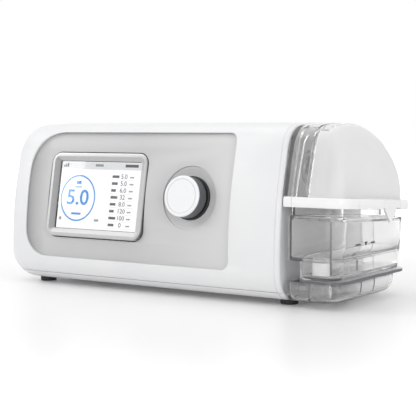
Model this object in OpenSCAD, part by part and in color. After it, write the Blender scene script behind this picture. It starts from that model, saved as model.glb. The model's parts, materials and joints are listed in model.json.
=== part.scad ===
/* [Body] */
// Length of the main unit, from its left end to the water chamber
body_w = 243.5; // [230:0.5:280]
// Depth of the shells, front to rear
body_d = 120; // [114:0.5:140]
// Height of the shells without the feet
body_h = 116; // [112:0.5:130]
// Wall of the shells
wall = 2.6; // [2:0.1:3.2]
// Height of the base shell's side above its underside
base_h = 6; // [5:0.5:9]
// Corner radius of the left end, seen from the front
end_r = 25; // [18:0.5:30]
// Corner radius of the left end, seen from above
plan_r = 14; // [8:0.5:18]
// Radius where the front meets the top
front_top_r = 18; // [10:0.5:22]
// Radius where the top meets the rear
rear_top_r = 22; // [12:0.5:28]
// Radius where the front meets the underside
front_low_r = 18; // [10:0.5:22]
// Radius where the rear meets the underside
rear_low_r = 15; // [10:0.5:20]
// Radius that blends the flats of the bowed front
bow_r = 200; // [120:5:240]
// Radius of the shells' right-hand edge
edge_r = 2.4; // [1:0.1:3]

/* [Front panel] */
// Width of the grey front panel
panel_w = 183; // [178:0.5:190]
// Top of the shells down to the panel
panel_down = 7; // [6:0.2:10]
// Left end of the body to the panel
panel_margin = 19.5; // [18:0.5:24]
// Underside of the shells to the panel
panel_low = 18.2; // [17:0.2:20]
// Depth of the panel's face below the shell
panel_sink = 2.2; // [1.6:0.1:2.6]
// Thickness of the panel
panel_t = 2.2; // [1.8:0.1:3]
// Radius of the panel's left-hand corners
panel_big_r = 24; // [16:0.5:28]
// Radius of the panel's right-hand corners
panel_small_r = 7; // [4:0.5:12]
// Lean of the display and the knob from upright, in degrees
face_tilt = 10; // [6:0.5:12]

/* [Display] */
// Width of the display's picture
lcd_w = 73.44; // [68:0.1:76]
// Height of the display's picture
lcd_h = 48.96; // [44:0.1:51]
// Left end of the body to the picture's centre
lcd_from_end = 89.5; // [84:0.5:94]
// Underside of the shells to the picture's centre
lcd_up = 63.5; // [61:0.5:66]
// Thickness of the display module
lcd_t = 3; // [2:0.1:4]
// Border of the display module round its picture
lcd_border = 2.9; // [2:0.1:4]
// Thickness of the clear window
window_t = 1.2; // [0.8:0.1:1.6]
// Width of the bezel's sloping face round the picture
bezel_slope_w = 4; // [3:0.1:5]
// Width of the bezel's flat edge
bezel_edge = 3.1; // [2:0.1:4]
// Height of the bezel's face over the picture
bezel_rise = 3.8; // [3:0.1:4.5]
// Corner radius of the bezel
bezel_r = 8; // [5:0.5:10]
// Thickness of the circuit boards
board_t = 1.6; // [1:0.1:2.4]

/* [Knob] */
// Width of the knob
knob_d = 28; // [24:0.5:30]
// Height of the knob over the panel
knob_h = 14; // [11:0.5:16]
// Picture's centre to the knob's axis
knob_from_lcd = 81.5; // [76:0.5:86]
// Height of the white cap
knob_cap_h = 5.4; // [4:0.2:7]
// Width of the sunken dish round the knob
dish_d = 43.7; // [40:0.5:46]
// Depth of the dish
dish_depth = 1.8; // [1:0.1:2.4]
// Width of the black ring under the knob
ring_d = 31.5; // [30.5:0.5:34]
// Width of the encoder's shaft
shaft_d = 6; // [5:0.1:7]
// Travel of the knob when pushed
knob_travel = 1.2; // [0.5:0.1:1.4]

/* [Feet and screws] */
// Width of a foot
foot_d = 12; // [9:0.5:15]
// Height of a foot
foot_h = 3.5; // [3:0.1:6]
// Ends of the body to the feet
foot_inset_x = 27.5; // [26:0.5:34]
// Front and rear of the body to the feet
foot_inset_y = 24; // [22:0.5:30]
// Width of a housing screw
screw_d = 3; // [2.5:0.1:4]

/* [Air path] */
// Width of the hose outlet, the standard 22 mm cone
outlet_d = 22; // [20:0.1:24]
// Length of the hose outlet
outlet_l = 18; // [14:0.5:24]
// Wall of the hose outlet
outlet_wall = 2; // [1.6:0.1:2.6]
// Width of the blower's impeller
impeller_d = 44; // [38:0.5:48]
// Height of the impeller
impeller_h = 9; // [7:0.5:12]
// Number of impeller blades
blades = 11; // [7:1:15]
// Top of the shells down to the middle of the air ports
port_down = 30; // [26:0.5:34]
// Width of the air ports to the chamber
port_d = 20; // [16:0.5:22]
// Width of the air filter
filter_w = 40; // [34:0.5:46]
// Height of the air filter
filter_h = 32; // [26:0.5:36]
// Thickness of the air filter
filter_t = 8; // [5:0.5:12]

/* [Water chamber] */
// Length of the water chamber beside the main unit
chamber_w = 44.5; // [40:0.5:52]
// Gap between the main unit and the chamber
chamber_gap = 0.8; // [0.5:0.1:1.5]
// Gap between the water chamber's inner side and its rim
rim_gap = 0.4; // [0.3:0.1:1]
// Gap between the water chamber's inner side and its tank
tank_gap = 3.3; // [2.6:0.1:8]
// Wall of the clear mouldings
clear_wall = 2; // [1.6:0.1:2.6]
// Top of the shells down to the underside of the rim, at the front
rim_down = 54.1; // [52:0.2:58]
// Height of the rim
rim_h = 6.8; // [5:0.2:8]
// Slope of the rim down to the rear, in degrees
rim_slope = 3.4; // [0:0.2:5]
// Depth of the rim, front to rear
rim_d = 108; // [100:0.5:110]
// Corner radius of the rim, seen from above
rim_r = 13; // [10:0.5:15]
// Set-back of the dome from the rim's end
dome_set = 5.5; // [4:0.5:9]
// Radius of the dome's end, seen from above and from the front
dome_r = 10; // [7:0.5:18]
// Height of the finger groove under the rim
groove_h = 5; // [4.6:0.1:6.5]
// Depth of the finger groove
groove_d = 3.4; // [2:0.1:4]
// Draft of the tank's end, in degrees
tank_draft = 4; // [0:0.5:5]
// Set-back of the tank's rear from the rim's rear
tank_back = 3; // [2:0.5:8]
// Underside of the shells to the tank's floor
tank_up = 15.5; // [14:0.5:17]
// Height of the tank's side step over its floor
step_h = 12; // [8:0.5:16]
// Width of the tank's side step
step_w = 7; // [5:0.5:9]
// Thickness of the dark heater plate under the tank
plate_t = 2; // [1.5:0.1:3]
// Set-back of the tray's end from the rim's end
tray_set = 8.8; // [7:0.2:14]
// Depth of the tray, front to rear
tray_d = 98; // [88:0.5:100]

/* [Hidden] */
// Clearance between pieces of one body, face to face
gap = 0.15;
// Clearance between bodies that move past each other
free_gap = 0.4;
// Radial clearance of a running fit
run_fit = 0.05;
// Overshoot of a cut past a face
cut = 1;
$fn = 48;

// Places along X, Y and Z that the pieces share
total_w = body_w + chamber_w;
unit_x0 = -total_w / 2;
unit_x1 = unit_x0 + body_w;
end_x = total_w / 2;
low_z = foot_h;
top_z = low_z + body_h;
part_z = low_z + base_h;
cham_x0 = unit_x1 + chamber_gap;
tank_z0 = low_z + tank_up;
plate_z0 = tank_z0 - plate_t;

// The bowed front: three flats, each with its height over the underside and its lean
bow_z1 = body_h * 0.33;
bow_z2 = body_h * 0.59;
top_front_z = body_h - 2.2;
lean_low = -2;
lean_mid = 6.5;
lean_top = 12.5;
crown_d = body_d * 0.358;
bow_y2 = (bow_z2 - bow_z1) * tan(lean_mid);
bow_y3 = bow_y2 + (top_front_z - bow_z2) * tan(lean_top);

// The knob's lowest front edge is the object's front, and the hose outlet's end is its rear
knob_round = 1.2;
picture_depth = 3.67;
lcd_y_rel = (lcd_up - bow_z1) * tan(lean_mid) + panel_sink + picture_depth;
knob_reach = (knob_h + 3.3 - knob_round) * cos(face_tilt)
  + (knob_d / 2 - knob_round) * sin(face_tilt) + knob_round;
front_reach = knob_reach - lcd_y_rel;
total_d = front_reach + body_d + outlet_l;
body_y0 = -total_d / 2 + front_reach;
body_y1 = body_y0 + body_d;

// The picture's centre and the knob's axis on the leaning face
lcd_x = unit_x0 + lcd_from_end;
lcd_y = body_y0 + lcd_y_rel;
lcd_z = low_z + lcd_up;
panel_face = 3.3;
knob_base = panel_face + 0.3;
knob_up = 1;

// Vector and outline functions
function unit_of(v) = v / norm(v);
function inset_poly(p, d) = [
  for (i = [0:len(p) - 1])
    let (
      a = p[(i + len(p) - 1) % len(p)],
      b = p[i],
      c = p[(i + 1) % len(p)],
      u = unit_of(b - a),
      v = unit_of(c - b),
      nu = [-u[1], u[0]],
      nv = [-v[1], v[0]]
    )
    b + d * (nu + nv) / (1 + nu * nv)
];
function arc_corner(a, b, c, r, n) =
  let (
    u = unit_of(a - b),
    v = unit_of(c - b),
    half = acos(u * v) / 2,
    t = r / tan(half),
    mid = b + unit_of(u + v) * r / sin(half),
    p = b + u * t - mid,
    q = b + v * t - mid,
    a0 = atan2(p[1], p[0]),
    turn = atan2(p[0] * q[1] - p[1] * q[0], p * q)
  )
  [for (k = [0:n]) mid + r * [cos(a0 + turn * k / n), sin(a0 + turn * k / n)]];
function steps_of(r) = r > 60 ? 4 : r > 10 ? 9 : 6;
function rounded(p, radii) = [
  for (i = [0:len(p) - 1])
    each (
      radii[i] < 0.05
      ? [p[i]]
      : arc_corner(p[(i + len(p) - 1) % len(p)], p[i], p[(i + 1) % len(p)], radii[i], steps_of(radii[i]))
    )
];
function less(radii, d) = [for (r = radii) max(r - d, 0)];
function box_pts(x0, y0, x1, y1) = [[x0, y0], [x1, y0], [x1, y1], [x0, y1]];

// Side profile of the shells in Y and Z, from the low front corner round
side_pts = [
  [body_y0 + bow_z1 * tan(-lean_low), low_z],
  [body_y1, low_z],
  [body_y1, top_z - 0.6],
  [body_y0 + bow_y3 + crown_d, top_z],
  [body_y0 + bow_y3, low_z + top_front_z],
  [body_y0 + bow_y2, low_z + bow_z2],
  [body_y0, low_z + bow_z1]
];
side_radii = [front_low_r, rear_low_r, rear_top_r, bow_r / 2, front_top_r, bow_r, bow_r];
function side_profile(d) = rounded(inset_poly(side_pts, d), less(side_radii, d));
function end_outline(d) = rounded(
  box_pts(unit_x0 + d, low_z + d, unit_x1 + body_w, top_z - d),
  less([end_r, d, d, end_r], d)
);
function plan_outline(d) = rounded(
  box_pts(unit_x0 + d, body_y0 + d, unit_x1 + body_w, body_y1 - d),
  less([plan_r, d, d, plan_r], d)
);

// Panel outline in X and Z
panel_x0 = unit_x0 + panel_margin;
panel_x1 = panel_x0 + panel_w;
panel_z0 = low_z + panel_low;
panel_z1 = top_z - panel_down;
function panel_outline(d) = rounded(
  box_pts(panel_x0 + d, panel_z0 + d, panel_x1 - d, panel_z1 - d),
  less([panel_big_r, panel_small_r, panel_small_r, panel_big_r], d)
);

// Extrusions along each axis, and solids on the leaning face
module along_x(x0, x1) {
  translate([x0, 0, 0]) rotate([90, 0, 90]) linear_extrude(x1 - x0) children();
}
module along_y(y0, y1) {
  translate([0, y1, 0]) rotate([90, 0, 0]) linear_extrude(y1 - y0) children();
}
module along_z(z0, z1) {
  translate([0, 0, z0]) linear_extrude(z1 - z0) children();
}
module on_face(x, up, out) {
  translate([lcd_x, lcd_y, lcd_z]) rotate([90 - face_tilt, 0, 0]) translate([x, up, out]) children();
}
module disc_x(d, x0, x1, y, z) {
  translate([x0, y, z]) rotate([0, 90, 0]) cylinder(d = d, h = x1 - x0);
}
module disc_y(d, y0, y1, x, z) {
  translate([x, y0, z]) rotate([-90, 0, 0]) cylinder(d = d, h = y1 - y0);
}
module slab(w, h, t, r) {
  linear_extrude(t) polygon(rounded(box_pts(-w / 2, -h / 2, w / 2, h / 2), [r, r, r, r]));
}

// The body's outer form, moved inwards by d and open past the right-hand edge
module body_form(d) {
  intersection() {
    along_x(unit_x0 - cut, unit_x1 + (d > 0 ? cut : 0)) polygon(side_profile(d));
    along_y(body_y0 - cut, body_y1 + cut) polygon(end_outline(d));
    along_z(0, top_z + cut) polygon(plan_outline(d));
  }
}
module front_layer(d0, d1, grow) {
  intersection() {
    difference() {
      along_x(unit_x0, unit_x1) polygon(side_profile(d0));
      along_x(unit_x0 - cut, unit_x1 + cut) polygon(side_profile(d1));
    }
    along_y(body_y0 - cut, body_y0 + front_top_r + 12) polygon(panel_outline(-grow));
  }
}

// Screw places, shared by the screws and their posts
post_d = screw_d + 5;
head_h = 1;
screw_grip = 12;
screw_at = [
  [unit_x0 + end_r + 4, body_y0 + 30],
  [unit_x0 + end_r + 4, body_y1 - 24],
  [unit_x1 - 22, body_y0 + 24],
  [unit_x1 - 46, body_y1 - 24]
];
post_top = low_z + 24;

module upper_shell() {
  color("white") {
    difference() {
      body_form(0);
      body_form(wall);
      along_z(0, part_z) square([4 * total_w, 4 * total_d], center = true);
      along_y(body_y0 - cut, body_y0 + front_top_r + 12) polygon(panel_outline(0));
      // Rear openings: hose outlet, mains inlet, filter bay and card slot
      disc_y(outlet_d + 2 * outlet_wall + 2 * gap, body_y1 - 2 * wall, body_y1 + cut, outlet_x, outlet_z);
      along_y(body_y1 - wall - cut, body_y1 + cut) polygon(inlet_outline(-gap));
      along_y(body_y1 - wall - cut, body_y1 + cut) polygon(filter_outline(-gap));
      along_x(unit_x0 - cut, unit_x0 + wall + cut) polygon(card_outline(-gap));
      body_edge_cut();
    }
    for (p = screw_at) shell_post(p[0], p[1]);
  }
}
// A post under the top takes each housing screw
module shell_post(x, y) {
  difference() {
    translate([x, y, post_top]) cylinder(d = post_d, h = top_z - wall + 0.5 - post_top);
    translate([x, y, post_top - cut]) cylinder(d = screw_d + 2 * run_fit, h = screw_grip + 3 * cut);
  }
}
// The right-hand edge of the shells is eased all round
module body_edge_cut() {
  difference() {
    translate([unit_x1 - edge_r, body_y0 - 20, 0]) cube([edge_r + cut, body_d + 40, top_z + 20]);
    along_x(unit_x1 - 2 * edge_r, unit_x1 + 2 * cut) polygon(side_profile(edge_r * 0.3));
  }
}
module base_shell() {
  color("whitesmoke") {
    difference() {
      body_form(0);
      body_form(wall);
      along_z(part_z - gap, top_z + cut) square([4 * total_w, 4 * total_d], center = true);
      for (p = screw_at) translate([p[0], p[1], 0]) cylinder(d = screw_d + 2 * gap, h = part_z);
      for (p = screw_at) translate([p[0], p[1], 0]) cylinder(d = 2 * screw_d, h = low_z + head_h + gap);
      for (k = [0:5]) translate([intake_x + 5 * k, intake_y, 0]) slab(2.4, 30, low_z + wall + cut, 1.1);
      body_edge_cut();
    }
    for (p = screw_at) {
      difference() {
        translate([p[0], p[1], low_z + wall]) cylinder(d = post_d, h = post_top - gap - low_z - wall);
        translate([p[0], p[1], low_z]) cylinder(d = screw_d + 2 * gap, h = post_top);
      }
    }
  }
}
module housing_screws() {
  color("silver") for (p = screw_at) {
    translate([p[0], p[1], low_z]) cylinder(d = 2 * screw_d - 4 * gap, h = head_h);
    translate([p[0], p[1], low_z]) cylinder(d = screw_d, h = post_top + screw_grip - low_z);
  }
}
module feet() {
  color("dimgray") for (x = foot_x, y = foot_y) translate([x, y, 0]) cylinder(d = foot_d, h = foot_h);
}
foot_x = [unit_x0 + foot_inset_x, unit_x1 - foot_inset_x * 0.18];
foot_y = [body_y0 + foot_inset_y, body_y1 - foot_inset_y];
// The wall that closes the main unit's right-hand end and carries the air ports
wall_x1 = unit_x1 - 1.2;
wall_x0 = wall_x1 - wall;
port_z = top_z - port_down;
port_y = [body_y0 + body_d * 0.35, body_y0 + body_d * 0.617];
module right_end_wall() {
  color("gainsboro") difference() {
    along_x(wall_x0, wall_x1) polygon(side_profile(wall + gap));
    for (y = port_y) disc_x(port_d + 3, wall_x0 - cut, wall_x1 + cut, y, port_z);
    translate([0, contact_y, contact_z]) for (s = [-1, 1])
      disc_x(3.4, wall_x0 - cut, wall_x1 + cut, s * contact_pitch / 2, 0);
  }
}

// Front panel, with its hole for the bezel and for the knob's dish
bezel_w = lcd_w + 2 * (bezel_slope_w + bezel_edge);
bezel_h = lcd_h + 2 * (bezel_slope_w + bezel_edge) - 1.7;
window_w = lcd_w + 2 * lcd_border - 0.4;
window_h = lcd_h + 2 * lcd_border;
window_z0 = 0.1;
ledge_z = window_z0 + window_t + gap;
flange = 3;
module front_panel() {
  color("silver") difference() {
    union() {
      front_layer(panel_sink, panel_sink + panel_t, -gap);
      front_layer(wall + gap, panel_sink + panel_t, flange);
    }
    on_face(0, 0, -20) slab(bezel_w + 2 * gap, bezel_h + 2 * gap, 40, bezel_r + gap);
    on_face(knob_from_lcd, knob_up, -20) cylinder(d = dish_d + 2 * gap, h = 40);
  }
}
// The bezel's face slopes in from its edge to the window
bezel_back = -lcd_t - 1;
module screen_bezel() {
  color("lightgray") on_face(0, 0, 0) difference() {
    translate([0, 0, bezel_back]) slab(bezel_w, bezel_h, bezel_rise - bezel_back, bezel_r);
    hull() {
      translate([0, 0, ledge_z]) slab(lcd_w + 0.6, lcd_h + 0.6, 0.01, 1);
      translate([0, 0, bezel_rise]) slab(bezel_w - 2 * bezel_edge, bezel_h - 2 * bezel_edge, 0.01, 3);
    }
    slab(lcd_w + 0.6, lcd_h + 0.6, bezel_rise, 1);
    translate([0, 0, bezel_back - cut])
      slab(window_w + 2 * gap, window_h + 2 * gap, ledge_z - bezel_back + cut, 0.6);
  }
}
module screen_window() {
  color([0.9, 0.95, 1, 0.3]) on_face(0, 0, window_z0) slab(window_w, window_h, window_t, 0.5);
}
module lcd_display() {
  color("black") on_face(0, 0, -lcd_t) slab(window_w, window_h, lcd_t, 0.5);
}
module display_board() {
  color("darkgreen") on_face(0, 0, 0) {
    difference() {
      translate([0, 0, bezel_back - gap - board_t]) slab(bezel_w - 2, bezel_h - 2, board_t, 1);
      for (x = board_hole_x, y = board_hole_y)
        translate([x, y, bezel_back - 4]) cylinder(d = screw_d - 0.6, h = 6);
    }
    translate([-20, 0, bezel_back - gap - board_t - 2]) slab(14, 14, 2, 0.4);
    translate([8, 10, bezel_back - gap - board_t - 3]) slab(18, 5, 3, 0.4);
  }
}
board_hole_x = [-bezel_w / 2 + 3.4, bezel_w / 2 - 3.4];
board_hole_y = [-bezel_h / 2 + 3.4, bezel_h / 2 - 3.4];

// Knob: dish, black ring, encoder, then what turns and what is pushed
dish_rim = panel_face - 1.1;
dish_floor = dish_rim - dish_depth;
ring_top = knob_base - knob_travel - 0.2;
bush_d = shaft_d + 1.6;
module knob_dish() {
  color("lightgray") on_face(knob_from_lcd, knob_up, 0) rotate_extrude($fn = 96) polygon([
    [bush_d / 2 + 1, dish_floor - 1.6],
    [dish_d / 2, dish_floor - 1.6],
    [dish_d / 2, dish_rim],
    [dish_d / 2 - 0.8, dish_rim],
    [ring_d / 2 + 0.6, dish_floor + 0.3],
    [ring_d / 2 + 0.2, dish_floor],
    [bush_d / 2 + 1, dish_floor]
  ]);
}
module knob_ring() {
  color("black") on_face(knob_from_lcd, knob_up, dish_floor + 0.05) rotate_extrude($fn = 96) polygon([
    [bush_d / 2 + 2.4, 0],
    [ring_d / 2, 0],
    [ring_d / 2, ring_top - dish_floor - 0.7],
    [ring_d / 2 - 0.6, ring_top - dish_floor - 0.1],
    [bush_d / 2 + 2.4, ring_top - dish_floor - 0.1]
  ]);
}
encoder_back = dish_floor - 1.7 - 6.5;
bush_top = ring_top - 0.1;
plunger_t = 1.4;
module rotary_encoder() {
  color("gray") on_face(knob_from_lcd, knob_up, 0) difference() {
    union() {
      translate([0, 0, encoder_back]) slab(13, 12.4, dish_floor - 1.7 - encoder_back, 0.4);
      translate([0, 0, encoder_back]) cylinder(d = bush_d, h = bush_top - encoder_back);
    }
    translate([0, 0, encoder_back + 1]) cylinder(d = shaft_d + 2 * run_fit, h = 30);
  }
}
module encoder_board() {
  color("darkgreen") on_face(knob_from_lcd, knob_up, encoder_back - gap - board_t) slab(26, 30, board_t, 1);
}
// The spring cup under the shaft is what a push moves first
plunger_z = encoder_back + 1 + knob_travel + 0.3;
module knob_plunger() {
  color("silver") on_face(knob_from_lcd, knob_up, plunger_z) cylinder(d = shaft_d - 0.4, h = plunger_t);
}
shaft_z0 = plunger_z + plunger_t + 0.1;
knob_top = panel_face + knob_h;
cap_z0 = knob_top - knob_cap_h;
shaft_z1 = cap_z0 - 1.2;
module knob_shaft() {
  color("silver") on_face(knob_from_lcd, knob_up, shaft_z0) cylinder(d = shaft_d, h = shaft_z1 - shaft_z0);
}
module knob_skirt() {
  color("dimgray") on_face(knob_from_lcd, knob_up, 0) rotate_extrude($fn = 96) polygon([
    [shaft_d / 2 + 0.01, bush_top + knob_travel + 0.4],
    [bush_d / 2 + 2, bush_top + knob_travel + 0.4],
    [bush_d / 2 + 2, cap_z0 - 2.2],
    [knob_d / 2 - 2, cap_z0 - 2.2],
    [knob_d / 2 - 2, knob_base],
    [knob_d / 2 - 0.2, knob_base],
    [knob_d / 2 - 0.5, cap_z0],
    [shaft_d / 2 + 0.01, cap_z0]
  ]);
}
module knob_cap() {
  color("white") on_face(knob_from_lcd, knob_up, 0) rotate_extrude($fn = 96) polygon(concat(
    [[0, cap_z0 + 0.05], [knob_d / 2, cap_z0 + 0.05]],
    [for (a = [0:15:90])
      [knob_d / 2 - knob_round * (1 - cos(a)), knob_top - knob_round * (1 - sin(a))]],
    [[knob_d / 2 - 2.2, knob_top], [knob_d / 2 - 3.2, knob_top - 0.4], [0, knob_top - 0.4]]
  ));
}

// Main board, power section and its inlet
board_z = low_z + 16;
board_x0 = unit_x0 + end_r + 11;
board_x1 = board_x0 + 103.5;
module main_board() {
  color("darkgreen") difference() {
    union() {
      translate([(board_x0 + board_x1) / 2, body_y0 + 62, board_z])
        slab(board_x1 - board_x0, 60, board_t, 1);
      translate([board_x0 + 24, body_y0 + 60, board_z + board_t]) slab(16, 16, 1.6, 0.3);
      translate([board_x0 + 54, body_y0 + 50, board_z + board_t]) slab(10, 8, 2, 0.3);
      for (k = [0:2]) translate([board_x0 + 20 + 22 * k, body_y0 + 82, board_z + board_t])
        cylinder(d = 8, h = 11);
      translate([board_x0 + 40, body_y0 + 38, board_z + board_t]) slab(30, 6, 6, 0.3);
    }
    for (x = [board_x0 + 4, board_x1 - 4], y = [body_y0 + 36, body_y0 + 88])
      translate([x, y, board_z - cut]) cylinder(d = screw_d, h = 4);
  }
}
module board_standoffs() {
  color("goldenrod") for (x = [board_x0 + 4, board_x1 - 4], y = [body_y0 + 36, body_y0 + 88])
    difference() {
      translate([x, y, low_z + wall + gap]) cylinder(d = 6, h = board_z - low_z - wall - 2 * gap);
      translate([x, y, board_z - 8]) cylinder(d = screw_d - 0.5, h = 9);
    }
}
inlet_x = unit_x0 + 66;
inlet_z = low_z + 62;
inlet_w = 27;
inlet_h = 20;
function inlet_outline(d) = rounded(
  box_pts(inlet_x - inlet_w / 2 + d, inlet_z - inlet_h / 2 + d, inlet_x + inlet_w / 2 - d,
    inlet_z + inlet_h / 2 - d),
  [2, 2, 6, 6]
);
inlet_depth = 18;
module power_inlet() {
  color("black") {
    difference() {
      along_y(body_y1 - inlet_depth - 3, body_y1 - 0.3) polygon(inlet_outline(0));
      along_y(body_y1 - inlet_depth, body_y1 + cut) polygon(inlet_outline(2));
      inlet_blades(gap);
    }
    along_y(body_y1 - inlet_depth - 3, body_y1 - wall - gap) difference() {
      polygon(inlet_outline(-3));
      polygon(inlet_outline(-0.01));
    }
  }
}
blade_w = 2;
blade_h = 4;
blade_l = 17;
blade_pitch = 7;
module inlet_blades(d) {
  for (k = [-1, 0, 1])
    translate([inlet_x + blade_pitch * k, body_y1 - inlet_depth - blade_pitch, inlet_z + (k == 0 ? 3 : -1)])
      translate([-blade_w / 2 - d, -d, -blade_h / 2 - d])
        cube([blade_w + 2 * d, blade_l + 2 * d, blade_h + 2 * d]);
}
module inlet_pins() {
  color("silver") inlet_blades(0);
}

// Card slot in the left end, with its push-in cover
card_y = body_y0 + body_d * 0.65;
card_z = low_z + body_h * 0.43;
card_l = 28;
card_h = 8;
slot_x0 = unit_x0 + wall + free_gap;
slot_l = screw_at[0][0] - post_d / 2 - free_gap - slot_x0;
slot_w = card_l - 2;
slot_h = 5;
slot_wall = 1.3;
function card_outline(d) = rounded(
  box_pts(card_y - card_l / 2 + d, card_z - card_h / 2 + d, card_y + card_l / 2 - d,
    card_z + card_h / 2 - d),
  [1, 1, 1, 1]
);
module card_slot() {
  color("gray") difference() {
    translate([slot_x0, card_y - slot_w / 2, card_z - slot_h / 2]) cube([slot_l, slot_w, slot_h]);
    translate([slot_x0 - cut, card_y - slot_w / 2 + slot_wall, card_z - slot_h / 2 + slot_wall])
      cube([slot_l - slot_wall, slot_w - 2 * slot_wall, slot_h - 2 * slot_wall]);
  }
}
module card_cover() {
  color("white") {
    difference() {
      along_x(unit_x0 + 0.1, unit_x0 + wall) polygon(card_outline(0.15));
      translate([unit_x0 + wall - 0.8, card_y - card_l / 4, card_z + 1]) cube([cut, card_l / 2, 2]);
    }
  }
}

// Hose outlet: a 22 mm cone seat at the rear, fed by a duct from the chamber's port
outlet_x = unit_x1 - 27;
outlet_z = port_z;
// The outlet's flange lies flat, clear of the shell's curved top edge
flange_in = wall + gap + 0.8;
module hose_outlet() {
  color("whitesmoke") difference() {
    union() {
      disc_y(outlet_d, body_y1 - 8, body_y1 + outlet_l, outlet_x, outlet_z);
      intersection() {
        disc_y(outlet_d + 10, body_y1 - flange_in - outlet_wall, body_y1 - flange_in, outlet_x, outlet_z);
        along_x(outlet_x - outlet_d, outlet_x + outlet_d) polygon(side_profile(wall + gap));
      }
    }
    disc_y(outlet_d - 2 * outlet_wall, body_y1 - 8 - cut, body_y1 + outlet_l + cut, outlet_x, outlet_z);
  }
}
// Air channels run from the end wall's ports: one to the hose outlet, one from the blower
duct_d = port_d + 3;
duct_bore = port_d - 1;
elbow_y0 = body_y1 - 8 - gap;
module outlet_duct() {
  color("lightgray") difference() {
    union() {
      disc_x(duct_d, outlet_x - duct_d / 2, wall_x0 - gap, port_y[1], port_z);
      disc_y(duct_d, port_y[1], elbow_y0, outlet_x, port_z);
    }
    disc_x(duct_bore, outlet_x, wall_x0 + cut, port_y[1], port_z);
    disc_y(duct_bore, port_y[1], elbow_y0 + cut, outlet_x, port_z);
  }
}

// Blower: housing, cover, motor, and the impeller with its shaft
blower_x = unit_x1 - 72;
blower_wall = 2;
scroll_d = impeller_d + 14;
blower_tube_d = 19;
blower_y = port_y[0] + scroll_d / 2 - blower_tube_d / 2 + 1;
blower_z0 = port_z - blower_tube_d / 2 - blower_wall;
blower_z1 = port_z + blower_tube_d / 2;
blower_mid = port_z + 3;
motor_d = 32;
motor_h = 20;
mount_d = 8;
mount_r = motor_d / 2 + mount_d / 2 + 1;
rotor_d = 3;
impeller_z0 = port_z - impeller_h / 2;
module blower_housing() {
  color("lightgray") difference() {
    union() {
      translate([blower_x, blower_y, blower_z0])
        cylinder(d = scroll_d + 2 * blower_wall, h = blower_mid - blower_z0);
      disc_x(blower_tube_d + 2 * blower_wall, blower_x, wall_x0 - gap, port_y[0], port_z);
    }
    translate([blower_x, blower_y, blower_z0 + blower_wall]) cylinder(d = scroll_d, h = scroll_d);
    disc_x(blower_tube_d, blower_x, wall_x0 + cut, port_y[0], port_z);
    translate([blower_x, blower_y, blower_mid]) cylinder(d = scroll_d + 2 * blower_wall + 1, h = scroll_d);
    translate([blower_x, blower_y, blower_z0 - cut]) cylinder(d = rotor_d + 3, h = 2 * cut + blower_wall);
  }
}
module blower_cover() {
  color("gainsboro") difference() {
    translate([blower_x, blower_y, blower_mid + gap])
      cylinder(d = scroll_d + 2 * blower_wall, h = blower_z1 + blower_wall - blower_mid - gap);
    translate([blower_x, blower_y, blower_mid]) cylinder(d = scroll_d, h = blower_z1 - blower_mid);
    translate([blower_x, blower_y, blower_mid]) cylinder(d = intake_d - intake_wall, h = scroll_d);
    disc_x(blower_tube_d + 2 * blower_wall + 0.4, blower_x, blower_x + scroll_d, port_y[0], port_z);
  }
}
module blower_motor() {
  color("dimgray") difference() {
    translate([blower_x, blower_y, blower_z0 - gap - motor_h]) cylinder(d = motor_d, h = motor_h);
    translate([blower_x, blower_y, blower_z0 - gap - motor_h + 3])
      cylinder(d = rotor_d + 2 * run_fit, h = motor_h);
  }
}
module blower_mounts() {
  color("black") for (a = [45, 135, 225, 315])
    translate([blower_x + mount_r * cos(a), blower_y + mount_r * sin(a), low_z + wall + gap])
      cylinder(d = mount_d, h = blower_z0 - gap - low_z - wall - gap);
}
module impeller() {
  color("white") translate([blower_x, blower_y, impeller_z0]) difference() {
    union() {
      cylinder(d = impeller_d, h = 1.4);
      cylinder(d = 10, h = impeller_h);
      for (k = [0:blades - 1]) rotate(k * 360 / blades) translate([4, -0.6, 0])
        rotate(-18) cube([impeller_d / 2 - 6, 1.2, impeller_h]);
    }
    translate([0, 0, -cut]) cylinder(d = rotor_d, h = impeller_h + 2 * cut);
  }
}
module blower_shaft() {
  color("silver") translate([blower_x, blower_y, blower_z0 - gap - motor_h + 3.2])
    cylinder(d = rotor_d, h = impeller_z0 + impeller_h - blower_z0 + gap + motor_h - 3.2);
}

// Air intake: filter cover, filter, silencer box, foam and the hose to the blower
filter_x = unit_x0 + 118;
filter_z = port_z - 36;
intake_d = 15;
intake_wall = 1.5;
intake_x = unit_x0 + 40;
intake_y = body_y0 + 60;
function filter_outline(d) = rounded(
  box_pts(filter_x - filter_w / 2 + d, filter_z - filter_h / 2 + d, filter_x + filter_w / 2 - d,
    filter_z + filter_h / 2 - d),
  [2, 2, 2, 2]
);
box_y1 = body_y1 - wall - gap;
box_margin = 5;
box_y0 = blower_y - intake_d / 2 - box_margin;
box_wall = 2;
box_z1 = filter_z + filter_h / 2 + box_wall;
box_z0 = filter_z - filter_h / 2 - box_wall;
box_back = filter_t + 3 * box_wall;
foam_t = 7;
foam_channel = 8;
box_w = filter_w + 2 * box_margin;
module silencer_box() {
  color("gray") difference() {
    translate([filter_x - box_w / 2, box_y0, box_z0]) cube([box_w, box_y1 - box_y0, box_z1 - box_z0]);
    along_y(box_y1 - filter_t - 2 * gap, box_y1 + cut) polygon(filter_outline(-2 * gap));
    translate([filter_x - box_w / 2 + box_wall, box_y0 + box_wall, box_z0 + box_wall])
      cube([box_w - 2 * box_wall, box_y1 - box_y0 - box_back, box_z1 - box_z0 - 2 * box_wall]);
    along_y(box_y1 - box_back - cut, box_y1 - filter_t) polygon(filter_outline(1.5 * box_wall));
    translate([filter_x, blower_y, box_z1 - 2 * box_wall])
      cylinder(d = intake_d - 2 * intake_wall, h = 4 * box_wall);
  }
}
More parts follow.
